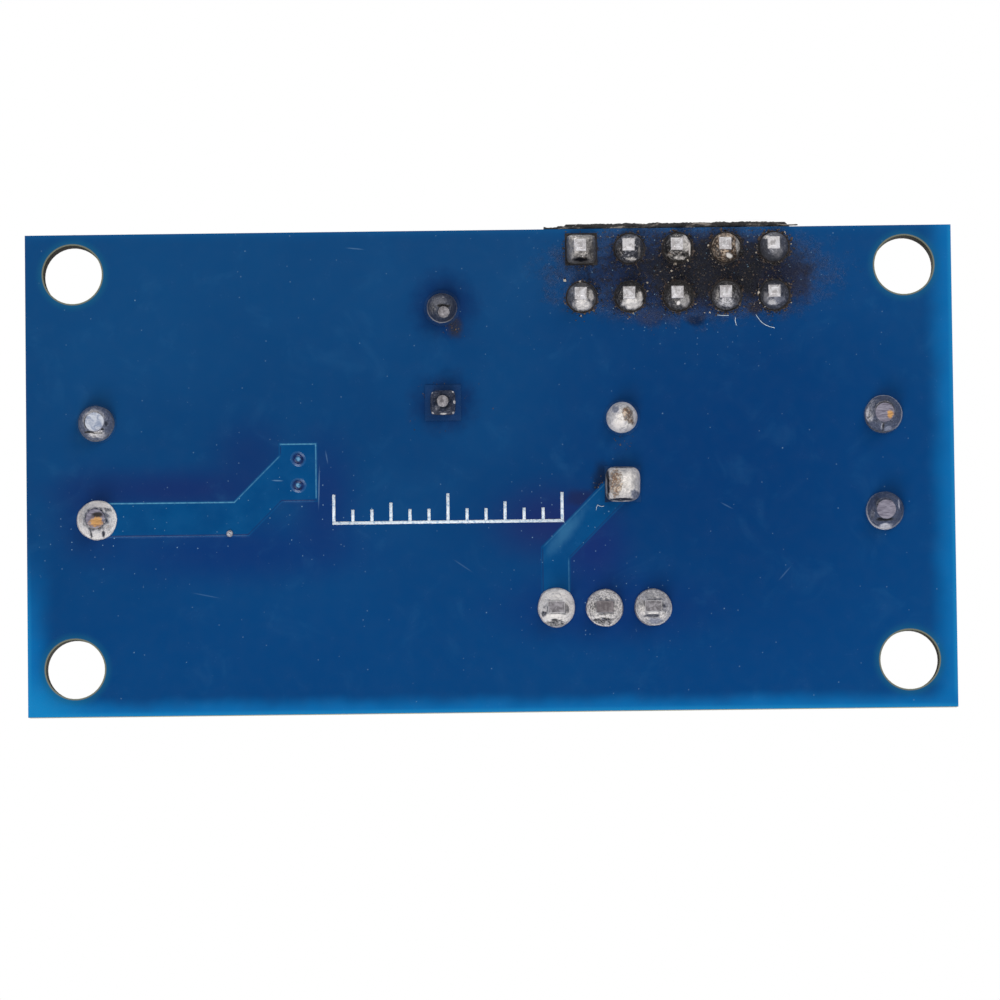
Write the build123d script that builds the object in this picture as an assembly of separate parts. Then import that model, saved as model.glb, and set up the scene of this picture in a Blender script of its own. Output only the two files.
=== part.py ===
from build123d import *
import os

# Voltage regulator module, in millimetres. +Z points out of the component side.
# The origin is the middle of the four mounting holes, on the solder side of the board.

# Board
mounting_spacing_x = 43.8
mounting_spacing_y = 20.8
mounting_hole_radius = 1.55
board_end_margin = 2.5
board_front_margin = 2.1
board_back_margin = 2.5
board_thickness = 1.6
copper = 0.05
plating = 0.05
lead_drop = 1.5

# Screw terminals, with one clamp cage for each pole
pole_pitch = 5.08
pole_count = 2
terminal_edge_inset = 0.2
terminal_row_y = 0.03
terminal_pin_setback = 3.5
terminal_screw_setback = 3.9
terminal_depth = 7.8
terminal_pin_radius = 0.5
terminal_hole_radius = 0.65
terminal_pad_radius = 1.05
housing_floor = 0.6
housing_shoulder = 0.5
housing_lip = 0.5
housing_rear_step = 0.9
housing_rear_slope = 0.8
housing_shelf_share = 0.6
housing_front_slope = 1.2
entry_flare_width = 1.12
entry_flare_height = 1.4
rib_width = 2.2
rib_proud = 0.4
contact_strip = 0.6
contact_width = 2.5
contact_leg_gap = 0.15
cage_width = 3.9
cage_depth = 3.4
cage_wall = 0.6
cage_floor = 0.8
cage_roof = 1.2
cage_clearance = 0.08
wire_gap = 2.0
cage_travel = 1.8
clamp_screw_radius = 1.25
clamp_screw_clearance = 0.03
clamp_head_radius = 1.8
clamp_head_height = 1.1
clamp_head_play = 0.05
clamp_slot_width = 0.55
clamp_slot_depth = 0.6
clamp_slot_turns = [35, -20]
lead_in_share = 0.2

# Pin header
header_pitch = 2.54
header_columns = 5
header_rows = 2
header_x = 10.0
header_edge_inset = 1.08
header_lean_x = -0.06
header_lean_y = -0.1
header_pin_width = 0.64
header_pin_chamfer = 0.16
header_pin_above = 6.0
header_insulator_height = 2.54
header_insulator_margin = 0.13
header_corner = 0.55
header_hole_radius = 0.6
header_pad_radius = 0.85

# Electrolytic capacitors
large_capacitor_x = -2.45
large_capacitor_y = -5.9
large_capacitor_diameter = 10.0
large_capacitor_height = 17.0
large_capacitor_pitch = 5.0
small_capacitor_x = 6.95
small_capacitor_diameter = 8.0
small_capacitor_height = 12.0
small_capacitor_pitch = 3.5
small_capacitor_gap = 0.26
capacitor_lead_radius = 0.3
capacitor_lead_drop = 1.35
capacitor_hole_radius = 0.45
capacitor_pad_radius = 0.95
capacitor_sleeve = 0.15
capacitor_lip = 0.7
capacitor_bung_height = 2.0
capacitor_bead_depth = 0.35
capacitor_bead_height = 2.6
vent_width = 0.25
vent_depth = 0.12
vent_length_share = 0.8

# Regulator and its heatsink
regulator_x = 5.92
regulator_edge_inset = 5.4
regulator_pitch = 2.54
regulator_lead_width = 0.88
regulator_lead_thickness = 0.6
regulator_shoulder_width = 1.3
regulator_shoulder_height = 3.7
regulator_hole_radius = 0.6
regulator_pad_radius = 1.0
regulator_seat = 2.44
regulator_width = 10.2
regulator_depth = 4.5
regulator_body_height = 9.2
regulator_height = 15.75
regulator_slope = 1.0
regulator_foot_slope = 0.3
tab_thickness = 1.3
tab_inner_width = 8.2
tab_hole_radius = 1.85
tab_hole_from_top = 2.8
tab_corner = 0.8
tab_notch = 0.9
lead_inset = 2.0
dimple_radius = 0.9
dimple_depth = 0.15
dimple_drop = 2.0
paste_thickness = 0.05
heatsink_width = 15.0
heatsink_depth = 8.5
heatsink_height = 20.0
heatsink_base = 1.5
heatsink_arm = 1.5
heatsink_lift = 0.4
heatsink_hole_radius = 1.6
flute_count = 5
flute_width = 0.7
flute_depth = 0.6
flute_pitch = 1.35
flute_start = 1.1
bolt_radius = 1.5
bolt_length = 8.0
bolt_head_radius = 2.8
bolt_head_height = 1.9
bolt_head_round = 0.8
bolt_recess_width = 0.7
bolt_recess_length = 3.0
bolt_recess_depth = 1.0
bolt_clearance = 0.02
washer_radius = 2.75
washer_thickness = 0.7
washer_gap = 0.5
washer_gap_turn = 35
washer_clearance = 0.06
nut_width = 5.5
nut_height = 2.4
nut_chamfer = 0.35

# Tracks and vias
input_track_width = 1.75
output_track_width = 1.4
supply_track_width = 1.2
header_track_width = 0.9
light_track_width = 0.4
supply_track_x = -3.4
supply_track_back = 3.1
header_branch_x = 13.4
light_branch_x = 13.9
via_x = -10.1
via_y = 0.17
via_pitch = 1.39
via_hole_radius = 0.2
via_pad_radius = 0.32
via_field_width = 1.9
via_field_length = 3.0
via_track_entry = -0.45

# Surface-mounted parts
diode_x = -6.65
diode_y = 0.35
diode_length = 4.3
diode_width = 2.6
diode_height = 2.1
diode_draft = 0.2
diode_foot = 1.1
diode_strip = 0.2
diode_strip_width = 1.5
diode_reach = 0.35
chip_length = 2.0
chip_width = 1.25
chip_cap = 0.4
chip_plate = 0.04
resistor_height = 0.5
ceramic_height = 1.2
light_base_height = 0.4
light_lens_height = 0.45
light_lens_length = 1.2
light_lens_taper = 0.8
resistor_x = 16.1
resistor_y = 7.0
light_x = 16.1
light_y = 9.4
input_ceramic_x = -4.4
input_ceramic_y = 5.4
output_ceramic_x = 14.9
output_ceramic_y = 0.4
smd_pad_reach = 0.5
smd_solder_height = 0.3
smd_solder_reach = 0.45
smd_solder_hollow = 0.36

# Solder joints
solder_margin = 0.08
solder_tip_wall = 0.18
solder_height = 1.15
terminal_solder_height = 1.3
solder_sink = 0.12
terminal_solder_sink = -0.1

# Places worked out from the driving dimensions
board_length = mounting_spacing_x + 2 * board_end_margin
board_width = mounting_spacing_y + board_front_margin + board_back_margin
board_right = board_length / 2
board_left = -board_right
board_front = -(mounting_spacing_y / 2 + board_front_margin)
board_back = board_front + board_width
seat = board_thickness + copper
input_pin_x = board_left + terminal_edge_inset + terminal_pin_setback
output_pin_x = -input_pin_x
pole_offsets = [(i - (pole_count - 1) / 2) * pole_pitch for i in range(pole_count)]
header_front_y = board_front + header_edge_inset
header_offsets = [(i - (header_columns - 1) / 2) * header_pitch for i in range(header_columns)]
header_points = [(header_x + dx, header_front_y + row * header_pitch)
                 for row in range(header_rows) for dx in header_offsets]
regulator_y = board_back - regulator_edge_inset
regulator_points = [(regulator_x + side * regulator_pitch, regulator_y) for side in (-1, 0, 1)]
tab_back_y = regulator_y - regulator_seat
tab_front_y = tab_back_y + tab_thickness
regulator_front_y = tab_back_y + regulator_depth
regulator_bottom = seat + regulator_shoulder_height
regulator_body_top = regulator_bottom + regulator_body_height
regulator_top = regulator_bottom + regulator_height
bolt_z = regulator_top - tab_hole_from_top
heatsink_front_y = tab_back_y - paste_thickness
heatsink_back_y = heatsink_front_y - heatsink_base
large_capacitor_points = [(large_capacitor_x, large_capacitor_y + side * large_capacitor_pitch / 2)
                          for side in (-1, 1)]
small_capacitor_y = heatsink_back_y - small_capacitor_gap - small_capacitor_diameter / 2
small_capacitor_points = [(small_capacitor_x, small_capacitor_y + side * small_capacitor_pitch / 2)
                          for side in (-1, 1)]
via_points = [(via_x, via_y + side * via_pitch / 2) for side in (-1, 1)]

# How far in from each side the middle of a quarter round lies, as a share of its radius
arc_share = 1 - 0.5 ** 0.5

# Heights inside a screw terminal, above its seat
cage_bottom = housing_floor + contact_strip + cage_clearance
window_bottom = cage_bottom + cage_floor
blade_bottom = window_bottom + wire_gap
blade_top = blade_bottom + contact_strip
window_top = blade_top + cage_clearance
cage_top = window_top + cage_roof
chamber_top = cage_top + cage_travel + cage_clearance
head_bottom = chamber_top + housing_shoulder
head_top = head_bottom + clamp_head_height
housing_height = head_top + clamp_head_play + housing_lip


def span(x0, x1, y0, y1, z0, z1):
    """A box between two values on each axis."""
    middle = Pos((x0 + x1) / 2, (y0 + y1) / 2, (z0 + z1) / 2)
    return middle * Box(abs(x1 - x0), abs(y1 - y0), abs(z1 - z0))


def rod(radius, z0, z1):
    """An upright cylinder on the Z axis."""
    return Pos(0, 0, (z0 + z1) / 2) * Cylinder(radius, abs(z1 - z0))


def turned(*edges):
    """A solid turned about Z from edges drawn as radius and height."""
    return revolve(Plane.XZ * make_face(edges), Axis.Z)


def join(pieces):
    """One solid from pieces that touch or overlap."""
    whole = pieces[0]
    for piece in pieces[1:]:
        whole = whole + piece
    return whole


def write(name, *pieces):
    """One STEP file for a node, with each of its separate solids."""
    solids = [solid for piece in pieces for solid in piece.solids()]
    shape = solids[0] if len(solids) == 1 else Compound(children=solids)
    export_step(shape, f"parts/{name}.step")


# Board, plated holes and tracks


def plated_hole(point, hole_radius, pad_radius, square=False):
    """A plated barrel with a pad on each face of the board."""
    barrel = rod(hole_radius + plating, 0, board_thickness)
    for low in (-copper, board_thickness):
        if square:
            pad = span(-pad_radius, pad_radius, -pad_radius, pad_radius, low, low + copper)
        else:
            pad = rod(pad_radius, low, low + copper)
        barrel += pad
    return Pos(*point, 0) * (barrel - rod(hole_radius, -copper, seat))


def plated_holes(points, hole_radius, pad_radius, square_one=None):
    return [plated_hole(point, hole_radius, pad_radius, i == square_one)
            for i, point in enumerate(points)]


def terminal_points(pin_x):
    return [(pin_x, terminal_row_y + offset) for offset in pole_offsets]


input_terminal_points = terminal_points(input_pin_x)
output_terminal_points = terminal_points(output_pin_x)
input_positive = input_terminal_points[-1]
output_positive = output_terminal_points[0]
small_capacitor_positive = small_capacitor_points[1]
large_capacitor_positive = large_capacitor_points[1]
regulator_out, regulator_ground, regulator_in = regulator_points

drilled = [
    (header_points, header_hole_radius),
    (input_terminal_points + output_terminal_points, terminal_hole_radius),
    (large_capacitor_points + small_capacitor_points, capacitor_hole_radius),
    (regulator_points, regulator_hole_radius),
    (via_points, via_hole_radius),
]


def circuit_board():
    board = span(board_left, board_right, board_front, board_back, 0, board_thickness)
    for x in (-mounting_spacing_x / 2, mounting_spacing_x / 2):
        for y in (-mounting_spacing_y / 2, mounting_spacing_y / 2):
            board -= Pos(x, y, 0) * rod(mounting_hole_radius, 0, board_thickness)
    for points, hole_radius in drilled:
        for point in points:
            board -= Pos(*point, 0) * rod(hole_radius + plating, 0, board_thickness)
    return board


def strip(points, width, low):
    """A copper strip with round corners that follows a line of points."""
    line = Polyline(*points)
    return Pos(0, 0, low) * extrude(trace(line, line_width=width), copper)


def clear_of(strip_solid, holes):
    """A strip with the outlines of plated holes cut out of it."""
    for point, pad_radius, square in holes:
        if square:
            pad = span(-pad_radius, pad_radius, -pad_radius, pad_radius, -copper, seat)
        else:
            pad = rod(pad_radius, -copper, seat)
        strip_solid -= Pos(*point, 0) * pad
    return strip_solid


def via_field(low):
    """The copper rectangle round both vias."""
    half_width, half_length = via_field_width / 2, via_field_length / 2
    return span(via_x - half_width, via_x + half_width,
                via_y - half_length, via_y + half_length, low, low + copper)


via_cuts = [(point, via_pad_radius, False) for point in via_points]


def input_track():
    """From the input terminal to the vias, on the solder side."""
    run_y = input_positive[1]
    bend_x = via_x - (run_y - via_track_entry)
    line = [input_positive, (bend_x, run_y), (via_x, via_track_entry)]
    track = strip(line, input_track_width, -copper) + via_field(-copper)
    return clear_of(track, [(input_positive, terminal_pad_radius, False)] + via_cuts)


def output_track():
    """From the regulator to the smaller capacitor, on the solder side."""
    x, y = regulator_out
    end_x, end_y = small_capacitor_positive
    line = [regulator_out, (x, end_y + end_x - x), small_capacitor_positive]
    track = strip(line, output_track_width, -copper)
    return clear_of(track, [(regulator_out, regulator_pad_radius, False),
                            (small_capacitor_positive, capacitor_pad_radius, True)])


# Solder joints on the solder side


def solder_joint(point, lead, hole_radius, pad_radius, lead_radius, height, sink, square=False):
    """Solder round one lead: a turned fillet below the pad, and a filled barrel."""
    rim = pad_radius - solder_margin
    reach = rim * 2 ** 0.5 if square else rim
    tip = lead_radius + solder_tip_wall
    middle = ((reach + tip) / 2 - sink, -(copper + height) / 2 + sink)
    solder = turned(
        Polyline((0, -height), (0, board_thickness), (hole_radius, board_thickness),
                 (hole_radius, -copper), (reach, -copper)),
        ThreePointArc((reach, -copper), middle, (tip, -height)),
        Line((tip, -height), (0, -height)))
    if square:
        solder &= span(-rim, rim, -rim, rim, -height, board_thickness)
    return Pos(*point, 0) * solder - lead


# Screw terminal, drawn with its wire entries towards -X and its pins on the Z axis


def contact():
    """A stamped strip under the floor, up behind the cage and forward through its window."""
    leg_front = terminal_screw_setback - terminal_pin_setback + cage_depth / 2 + contact_leg_gap
    leg_back = leg_front + contact_strip
    blade_front = terminal_screw_setback - terminal_pin_setback - cage_depth / 2
    half = contact_width / 2
    foot = span(-half, leg_back, -half, half, housing_floor, housing_floor + contact_strip)
    leg = span(leg_front, leg_back, -half, half, housing_floor, blade_top)
    blade = span(blade_front, leg_back, -half, half, blade_bottom, blade_top)
    pin = rod(terminal_pin_radius, -(seat + lead_drop), housing_floor)
    return foot + leg + blade + pin


def clamp_cage():
    """A folded steel band with a threaded roof."""
    middle_x = terminal_screw_setback - terminal_pin_setback
    half_depth, half_width = cage_depth / 2, cage_width / 2
    band = span(-half_depth, half_depth, -half_width, half_width, cage_bottom, cage_top)
    band = fillet(band.edges().filter_by(Axis.X), cage_wall / 2)
    inner = half_width - cage_wall
    band -= span(-half_depth, half_depth, -inner, inner, window_bottom, window_top)
    band -= rod(clamp_screw_radius + clamp_screw_clearance, window_top, cage_top)
    return Pos(middle_x, 0, 0) * band


def clamp_screw(slot_turn):
    """A slotted screw whose head is held down in the housing."""
    middle_x = terminal_screw_setback - terminal_pin_setback
    screw = rod(clamp_screw_radius, blade_top + cage_clearance / 2, head_bottom)
    screw += rod(clamp_head_radius, head_bottom, head_top)
    screw = chamfer(screw.edges().group_by(Axis.Z)[0], clamp_screw_radius * lead_in_share)
    screw -= span(-clamp_head_radius, clamp_head_radius, -clamp_slot_width / 2, clamp_slot_width / 2,
                  head_top - clamp_slot_depth, head_top)
    return Pos(middle_x, 0, 0) * Rot(0, 0, slot_turn) * screw


def wire_entry():
    """A tapered mouth from the entry face to the chamber."""
    chamber_front = terminal_screw_setback - terminal_pin_setback - cage_depth / 2 - cage_clearance
    inner_width = cage_width - 2 * cage_wall
    middle_z = (window_bottom + blade_bottom) / 2
    inner = Plane(origin=(chamber_front, 0, middle_z), z_dir=(-1, 0, 0), x_dir=(0, 1, 0))
    outer = Plane(origin=(-terminal_pin_setback, 0, middle_z), z_dir=(-1, 0, 0), x_dir=(0, 1, 0))
    return loft([inner * Rectangle(inner_width, wire_gap),
                 outer * Rectangle(inner_width + entry_flare_width, wire_gap + entry_flare_height)])


def pole_chamber():
    """What one pole needs to be empty: the cage's chamber, the screw's ways and the wire entry."""
    middle_x = terminal_screw_setback - terminal_pin_setback
    half_depth = cage_depth / 2 + cage_clearance
    half_width = cage_width / 2 + cage_clearance
    chamber = span(-half_depth, half_depth, -half_width, half_width,
                   housing_floor + contact_strip, chamber_top)
    chamber += rod(clamp_screw_radius + clamp_head_play, chamber_top, head_bottom)
    chamber += rod(clamp_head_radius + clamp_head_play, head_bottom, head_top + clamp_head_play)
    access = clamp_head_radius - clamp_head_play * 2
    chamber += rod(access, head_top + clamp_head_play, housing_height)
    return Pos(middle_x, 0, 0) * chamber + wire_entry()


def housing():
    """The moulded block: a stepped side profile, a rib, a groove, and the chambers cut out."""
    front = -terminal_pin_setback
    back = front + terminal_depth
    shelf = head_bottom * housing_shelf_share
    upper_back = back - housing_rear_step
    profile = Polyline((front, 0), (back, 0), (back, shelf), (upper_back, shelf + housing_rear_slope),
                       (upper_back, housing_height), (front + housing_front_slope, housing_height),
                       (front, head_bottom), close=True)
    width = pole_count * pole_pitch
    block = extrude(Plane.XZ * make_face(profile), width / 2, both=True)
    wide, narrow = rib_width / 2, rib_width / 4
    rib_front = terminal_screw_setback - terminal_pin_setback - rib_width
    outline = Polyline((-narrow, 0), (-wide, rib_proud), (wide, rib_proud), (narrow, 0), close=True)
    rib = extrude(make_face(outline), housing_height - rib_width)
    block += Pos(rib_front, width / 2, 0) * rib
    block -= Pos(rib_front, -width / 2, 0) * rib
    for offset in pole_offsets:
        block -= Pos(0, offset, 0) * pole_chamber()
        block -= Pos(0, offset, 0) * contact()
    return block


# Electrolytic capacitor, drawn standing on its seat with its leads along Y


def capacitor_can(diameter, height):
    """A drawn can, solid inside, with a rolled bead above the bung and a scored top."""
    radius = diameter / 2 - capacitor_sleeve
    inner = radius - capacitor_lip
    bead = capacitor_bead_height
    low = bead - capacitor_bead_depth
    high = bead + capacitor_bead_depth
    edge = capacitor_lip / 2
    top = height - capacitor_sleeve
    can = turned(
        Polyline((0, top), (0, capacitor_bung_height), (inner, capacitor_bung_height),
                 (inner, capacitor_sleeve), (radius, capacitor_sleeve), (radius, low)),
        ThreePointArc((radius, low), (radius - capacitor_bead_depth, bead), (radius, high)),
        Line((radius, high), (radius, top - edge)),
        ThreePointArc((radius, top - edge), (radius - edge * arc_share, top - edge * arc_share),
                      (radius - edge, top)),
        Line((radius - edge, top), (0, top)))
    for turn in (0, 90):
        reach = inner * vent_length_share
        score = span(-reach, reach, -vent_width / 2, vent_width / 2, top - vent_depth, top)
        can -= Rot(0, 0, turn) * score
    return can


def capacitor_sleeve_skin(diameter, height):
    """The shrunk sleeve: a thin skin that follows the can, its bead too, and laps over both ends."""
    radius = diameter / 2
    inner = radius - capacitor_sleeve - capacitor_lip
    bead = capacitor_bead_height
    low = bead - capacitor_bead_depth
    high = bead + capacitor_bead_depth
    edge = capacitor_lip / 2 + capacitor_sleeve
    skin = turned(
        Polyline((inner, height), (inner, 0), (radius, 0), (radius, low)),
        ThreePointArc((radius, low), (radius - capacitor_bead_depth, bead), (radius, high)),
        Line((radius, high), (radius, height - edge)),
        ThreePointArc((radius, height - edge), (radius - edge * arc_share, height - edge * arc_share),
                      (radius - edge, height)),
        Line((radius - edge, height), (inner, height)))
    return skin - capacitor_can(diameter, height)


def capacitor_bung(diameter):
    """The rubber bung that closes the can."""
    inner = diameter / 2 - capacitor_sleeve - capacitor_lip
    return rod(inner, 0, capacitor_bung_height)


def capacitor_lead(side, pitch):
    lead = rod(capacitor_lead_radius, -(seat + capacitor_lead_drop), capacitor_bung_height)
    return Pos(0, side * pitch / 2, 0) * lead


def capacitor(diameter, height, pitch):
    """Can, sleeve, bung and leads."""
    leads = [capacitor_lead(side, pitch) for side in (-1, 1)]
    bung = capacitor_bung(diameter)
    for lead in leads:
        bung -= lead
    return capacitor_can(diameter, height), capacitor_sleeve_skin(diameter, height), bung, leads


# Pin header


def header_pin(point):
    half = header_pin_width / 2
    x = point[0] + header_lean_x
    y = point[1] + header_lean_y
    top = seat + header_insulator_height + header_pin_above
    pin = span(x - half, x + half, y - half, y + half, -lead_drop, top)
    ends = pin.edges().group_by(Axis.Z)
    return chamfer(ends[0] + ends[-1], header_pin_chamfer)


def header_insulator(pins):
    """Cells with cut corners in a row, as the strip is moulded."""
    middle_y = header_front_y + (header_rows - 1) * header_pitch / 2 + header_lean_y
    width = header_rows * header_pitch + 2 * header_insulator_margin
    cells = []
    for offset in header_offsets:
        cell = Box(header_pitch, width, header_insulator_height)
        cell = chamfer(cell.edges().filter_by(Axis.Z), header_corner)
        place = Pos(header_x + offset + header_lean_x, middle_y, seat + header_insulator_height / 2)
        cells.append(place * cell)
    insulator = join(cells)
    for pin in pins:
        insulator -= pin
    return insulator


# Regulator


def bolt_place(y):
    """Turns a piece drawn along +Z to point along +Y, at the bolt's axis."""
    return Pos(regulator_x, y, bolt_z) * Rot(-90, 0, 0)


def lead_blank(x, top):
    """A flat lead with a wide shoulder that stops it on the board."""
    y0 = regulator_y - regulator_lead_thickness / 2
    y1 = regulator_y + regulator_lead_thickness / 2
    narrow, wide = regulator_lead_width / 2, regulator_shoulder_width / 2
    tail = span(x - narrow, x + narrow, y0, y1, -lead_drop, seat)
    return tail + span(x - wide, x + wide, y0, y1, seat, top)


def regulator_tab():
    """One stamping: the tab with its hole, and the middle lead joined to it inside the body."""
    half, inner = regulator_width / 2, tab_inner_width / 2
    notch_bottom = regulator_body_top - tab_notch / 2
    outline = Polyline(
        (-inner, regulator_bottom + tab_notch), (inner, regulator_bottom + tab_notch),
        (inner, notch_bottom + tab_notch), (half, notch_bottom + tab_notch * 2),
        (half, regulator_top - tab_corner), (half - tab_corner, regulator_top),
        (tab_corner - half, regulator_top), (-half, regulator_top - tab_corner),
        (-half, notch_bottom + tab_notch * 2), (-inner, notch_bottom + tab_notch), close=True)
    plate = Pos(regulator_x, tab_front_y, 0) * extrude(Plane.XZ * make_face(outline), tab_thickness)
    bore = bolt_place(tab_back_y) * Cylinder(tab_hole_radius, tab_thickness * 3)
    link_top = regulator_bottom + tab_notch + lead_inset
    x0, x1 = regulator_x - regulator_shoulder_width / 2, regulator_x + regulator_shoulder_width / 2
    link = span(x0, x1, tab_back_y + tab_thickness / 2, regulator_y, link_top - tab_thickness, link_top)
    return plate - bore + link + lead_blank(regulator_x, link_top)


def regulator_body(metal):
    """The moulding: sloped front edges, with the tab, its link and the leads cut out."""
    half = regulator_width / 2
    slope = regulator_slope
    side = Polyline((tab_back_y, regulator_bottom),
                    (regulator_front_y - regulator_foot_slope, regulator_bottom),
                    (regulator_front_y, regulator_bottom + slope),
                    (regulator_front_y, regulator_body_top - slope),
                    (regulator_front_y - slope, regulator_body_top),
                    (tab_back_y, regulator_body_top), close=True)
    body = Pos(regulator_x, 0, 0) * extrude(Plane.YZ * make_face(side), half, both=True)
    dimple = Pos(regulator_x, regulator_front_y, regulator_body_top - slope - dimple_drop)
    body -= dimple * Rot(90, 0, 0) * Cylinder(dimple_radius, dimple_depth * 2)
    for piece in metal:
        body -= piece
    return body


def thermal_paste():
    """A squeezed film between the tab and the heatsink."""
    half = tab_inner_width / 2
    film = span(regulator_x - half, regulator_x + half, heatsink_front_y, tab_back_y,
                regulator_bottom + tab_notch, regulator_top - tab_corner)
    return film - bolt_place(tab_back_y) * Cylinder(tab_hole_radius, tab_thickness)


def heatsink():
    """A channel cut from a drawn length, with flutes along the outsides of its arms."""
    half = heatsink_width / 2
    low = seat + heatsink_lift
    tip_y = heatsink_back_y + heatsink_depth
    channel = span(-half, half, heatsink_back_y, tip_y, low, low + heatsink_height)
    inner = half - heatsink_arm
    channel -= span(-inner, inner, heatsink_front_y, tip_y, low, low + heatsink_height)
    for side in (-1, 1):
        for i in range(flute_count):
            y = heatsink_back_y + flute_start + i * flute_pitch
            flute = span(side * (half - flute_depth), side * half, y, y + flute_width,
                         low, low + heatsink_height)
            channel -= flute
    bore = bolt_place(heatsink_back_y) * Cylinder(heatsink_hole_radius, heatsink_base * 3)
    return Pos(regulator_x, 0, 0) * channel - bore


def heatsink_screw():
    """A pan head screw from the tab's side."""
    head = rod(bolt_head_radius, 0, bolt_head_height)
    head = fillet(head.edges().group_by(Axis.Z)[-1], bolt_head_round)
    low = bolt_head_height - bolt_recess_depth
    half, thin = bolt_recess_length / 2, bolt_recess_width / 2
    head -= span(-half, half, -thin, thin, low, bolt_head_height)
    head -= span(-thin, thin, -half, half, low, bolt_head_height)
    shank = rod(bolt_radius, -bolt_length, 0)
    shank = chamfer(shank.edges().group_by(Axis.Z)[0], bolt_radius * lead_in_share)
    return bolt_place(tab_front_y + washer_thickness) * (head + shank)


def heatsink_washer():
    """A spring washer, split at one side."""
    ring = rod(washer_radius, 0, washer_thickness)
    ring -= rod(bolt_radius + washer_clearance, 0, washer_thickness)
    cut = span(0, washer_radius, -washer_gap / 2, washer_gap / 2, 0, washer_thickness)
    return bolt_place(tab_front_y) * (ring - Rot(0, 0, washer_gap_turn) * cut)


def heatsink_nut():
    """A hexagon nut with chamfered corners."""
    across_corners = nut_width / 3 ** 0.5
    blank = extrude(RegularPolygon(across_corners, 6), nut_height)
    edge = across_corners - nut_chamfer
    rounded = turned(Polyline((0, 0), (edge, 0), (across_corners, nut_chamfer / 2),
                              (across_corners, nut_height - nut_chamfer / 2), (edge, nut_height),
                              (0, nut_height), close=True))
    nut = (blank & rounded) - rod(bolt_radius + bolt_clearance, 0, nut_height)
    return bolt_place(heatsink_back_y - nut_height) * nut


# Surface-mounted parts, drawn along X on the Z axis, standing on their pads


def chip(height):
    """A chip part: the body, and a plated cap folded round each end."""
    half, wide = chip_length / 2, chip_width / 2
    core = span(-half + chip_plate, half - chip_plate, -wide + chip_plate, wide - chip_plate,
                chip_plate, height - chip_plate)
    caps = []
    for side in (-1, 1):
        block = span(side * (half - chip_cap), side * half, -wide, wide, 0, height)
        caps.append(block - core)
    return core, caps


def smd_pad(side, half_length, half_width):
    outer = half_length + smd_pad_reach
    return span(side * (half_length - smd_pad_reach), side * outer, -half_width, half_width, -copper, 0)


def smd_solder(side, half_length, half_width):
    """A hollow fillet from the pad up the end of the part."""
    outer = half_length + smd_solder_reach
    bend = (half_length + smd_solder_reach * smd_solder_hollow, smd_solder_height * smd_solder_hollow)
    profile = Polyline((half_length, 0), (outer, 0), bend, (half_length, smd_solder_height), close=True)
    wedge = extrude(Plane.XZ * make_face(profile), half_width, both=True)
    return wedge if side > 0 else Rot(0, 0, 180) * wedge


def diode():
    """A moulded body drafted from its parting line, and two strips folded under it."""
    middle = diode_height / 2 + diode_strip / 2
    plane = Plane.XY.offset(middle)
    waist = plane * Rectangle(diode_length, diode_width)
    short, slim = diode_length - 2 * diode_draft, diode_width - 2 * diode_draft
    top = Plane.XY.offset(diode_height) * Rectangle(short, slim)
    bottom = Plane.XY.offset(diode_strip) * Rectangle(short, slim)
    body = loft([waist, top]) + loft([bottom, waist])
    strips = []
    half, wide = diode_length / 2, diode_strip_width / 2
    outer = half + diode_reach
    for side in (-1, 1):
        upper = span(side * (half - diode_foot), side * outer, -wide, wide,
                     middle - diode_strip / 2, middle + diode_strip / 2)
        down = span(side * (outer - diode_strip), side * outer, -wide, wide, 0, middle)
        under = span(side * (half - diode_foot), side * outer, -wide, wide, 0, diode_strip)
        strips.append(upper + down + under)
    for one in strips:
        body -= one
    return body, strips


def light():
    """An indicator light: a flat base with end caps, and a clear block with sloped ends."""
    core, caps = chip(light_base_height)
    half, wide = light_lens_length / 2, chip_width / 2 - chip_plate
    low, high = light_base_height, light_base_height + light_lens_height
    base_face = Plane.XY.offset(low) * Rectangle(2 * half, 2 * wide)
    top_face = Plane.XY.offset(high) * Rectangle(2 * half * light_lens_taper, 2 * wide * light_lens_taper)
    filler = span(-half, half, -wide, wide, light_base_height - chip_plate, light_base_height)
    lens = loft([base_face, top_face]) + (filler - join(caps))
    return core, caps, lens


smd_places = {
    "diode": (diode_x, diode_y, 0),
    "resistor": (resistor_x, resistor_y, 0),
    "light": (light_x, light_y, 180),
    "input_ceramic": (input_ceramic_x, input_ceramic_y, 0),
    "output_ceramic": (output_ceramic_x, output_ceramic_y, 90),
}


def smd_place(name):
    x, y, turn = smd_places[name]
    return Pos(x, y, seat) * Rot(0, 0, turn)


def smd_ends(make, name):
    """A pad or a fillet at each end of a surface-mounted part."""
    if name == "diode":
        half_length, half_width = diode_length / 2 + diode_reach, diode_strip_width / 2
    else:
        half_length, half_width = chip_length / 2, chip_width / 2
    return [smd_place(name) * make(side, half_length, half_width) for side in (-1, 1)]


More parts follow.
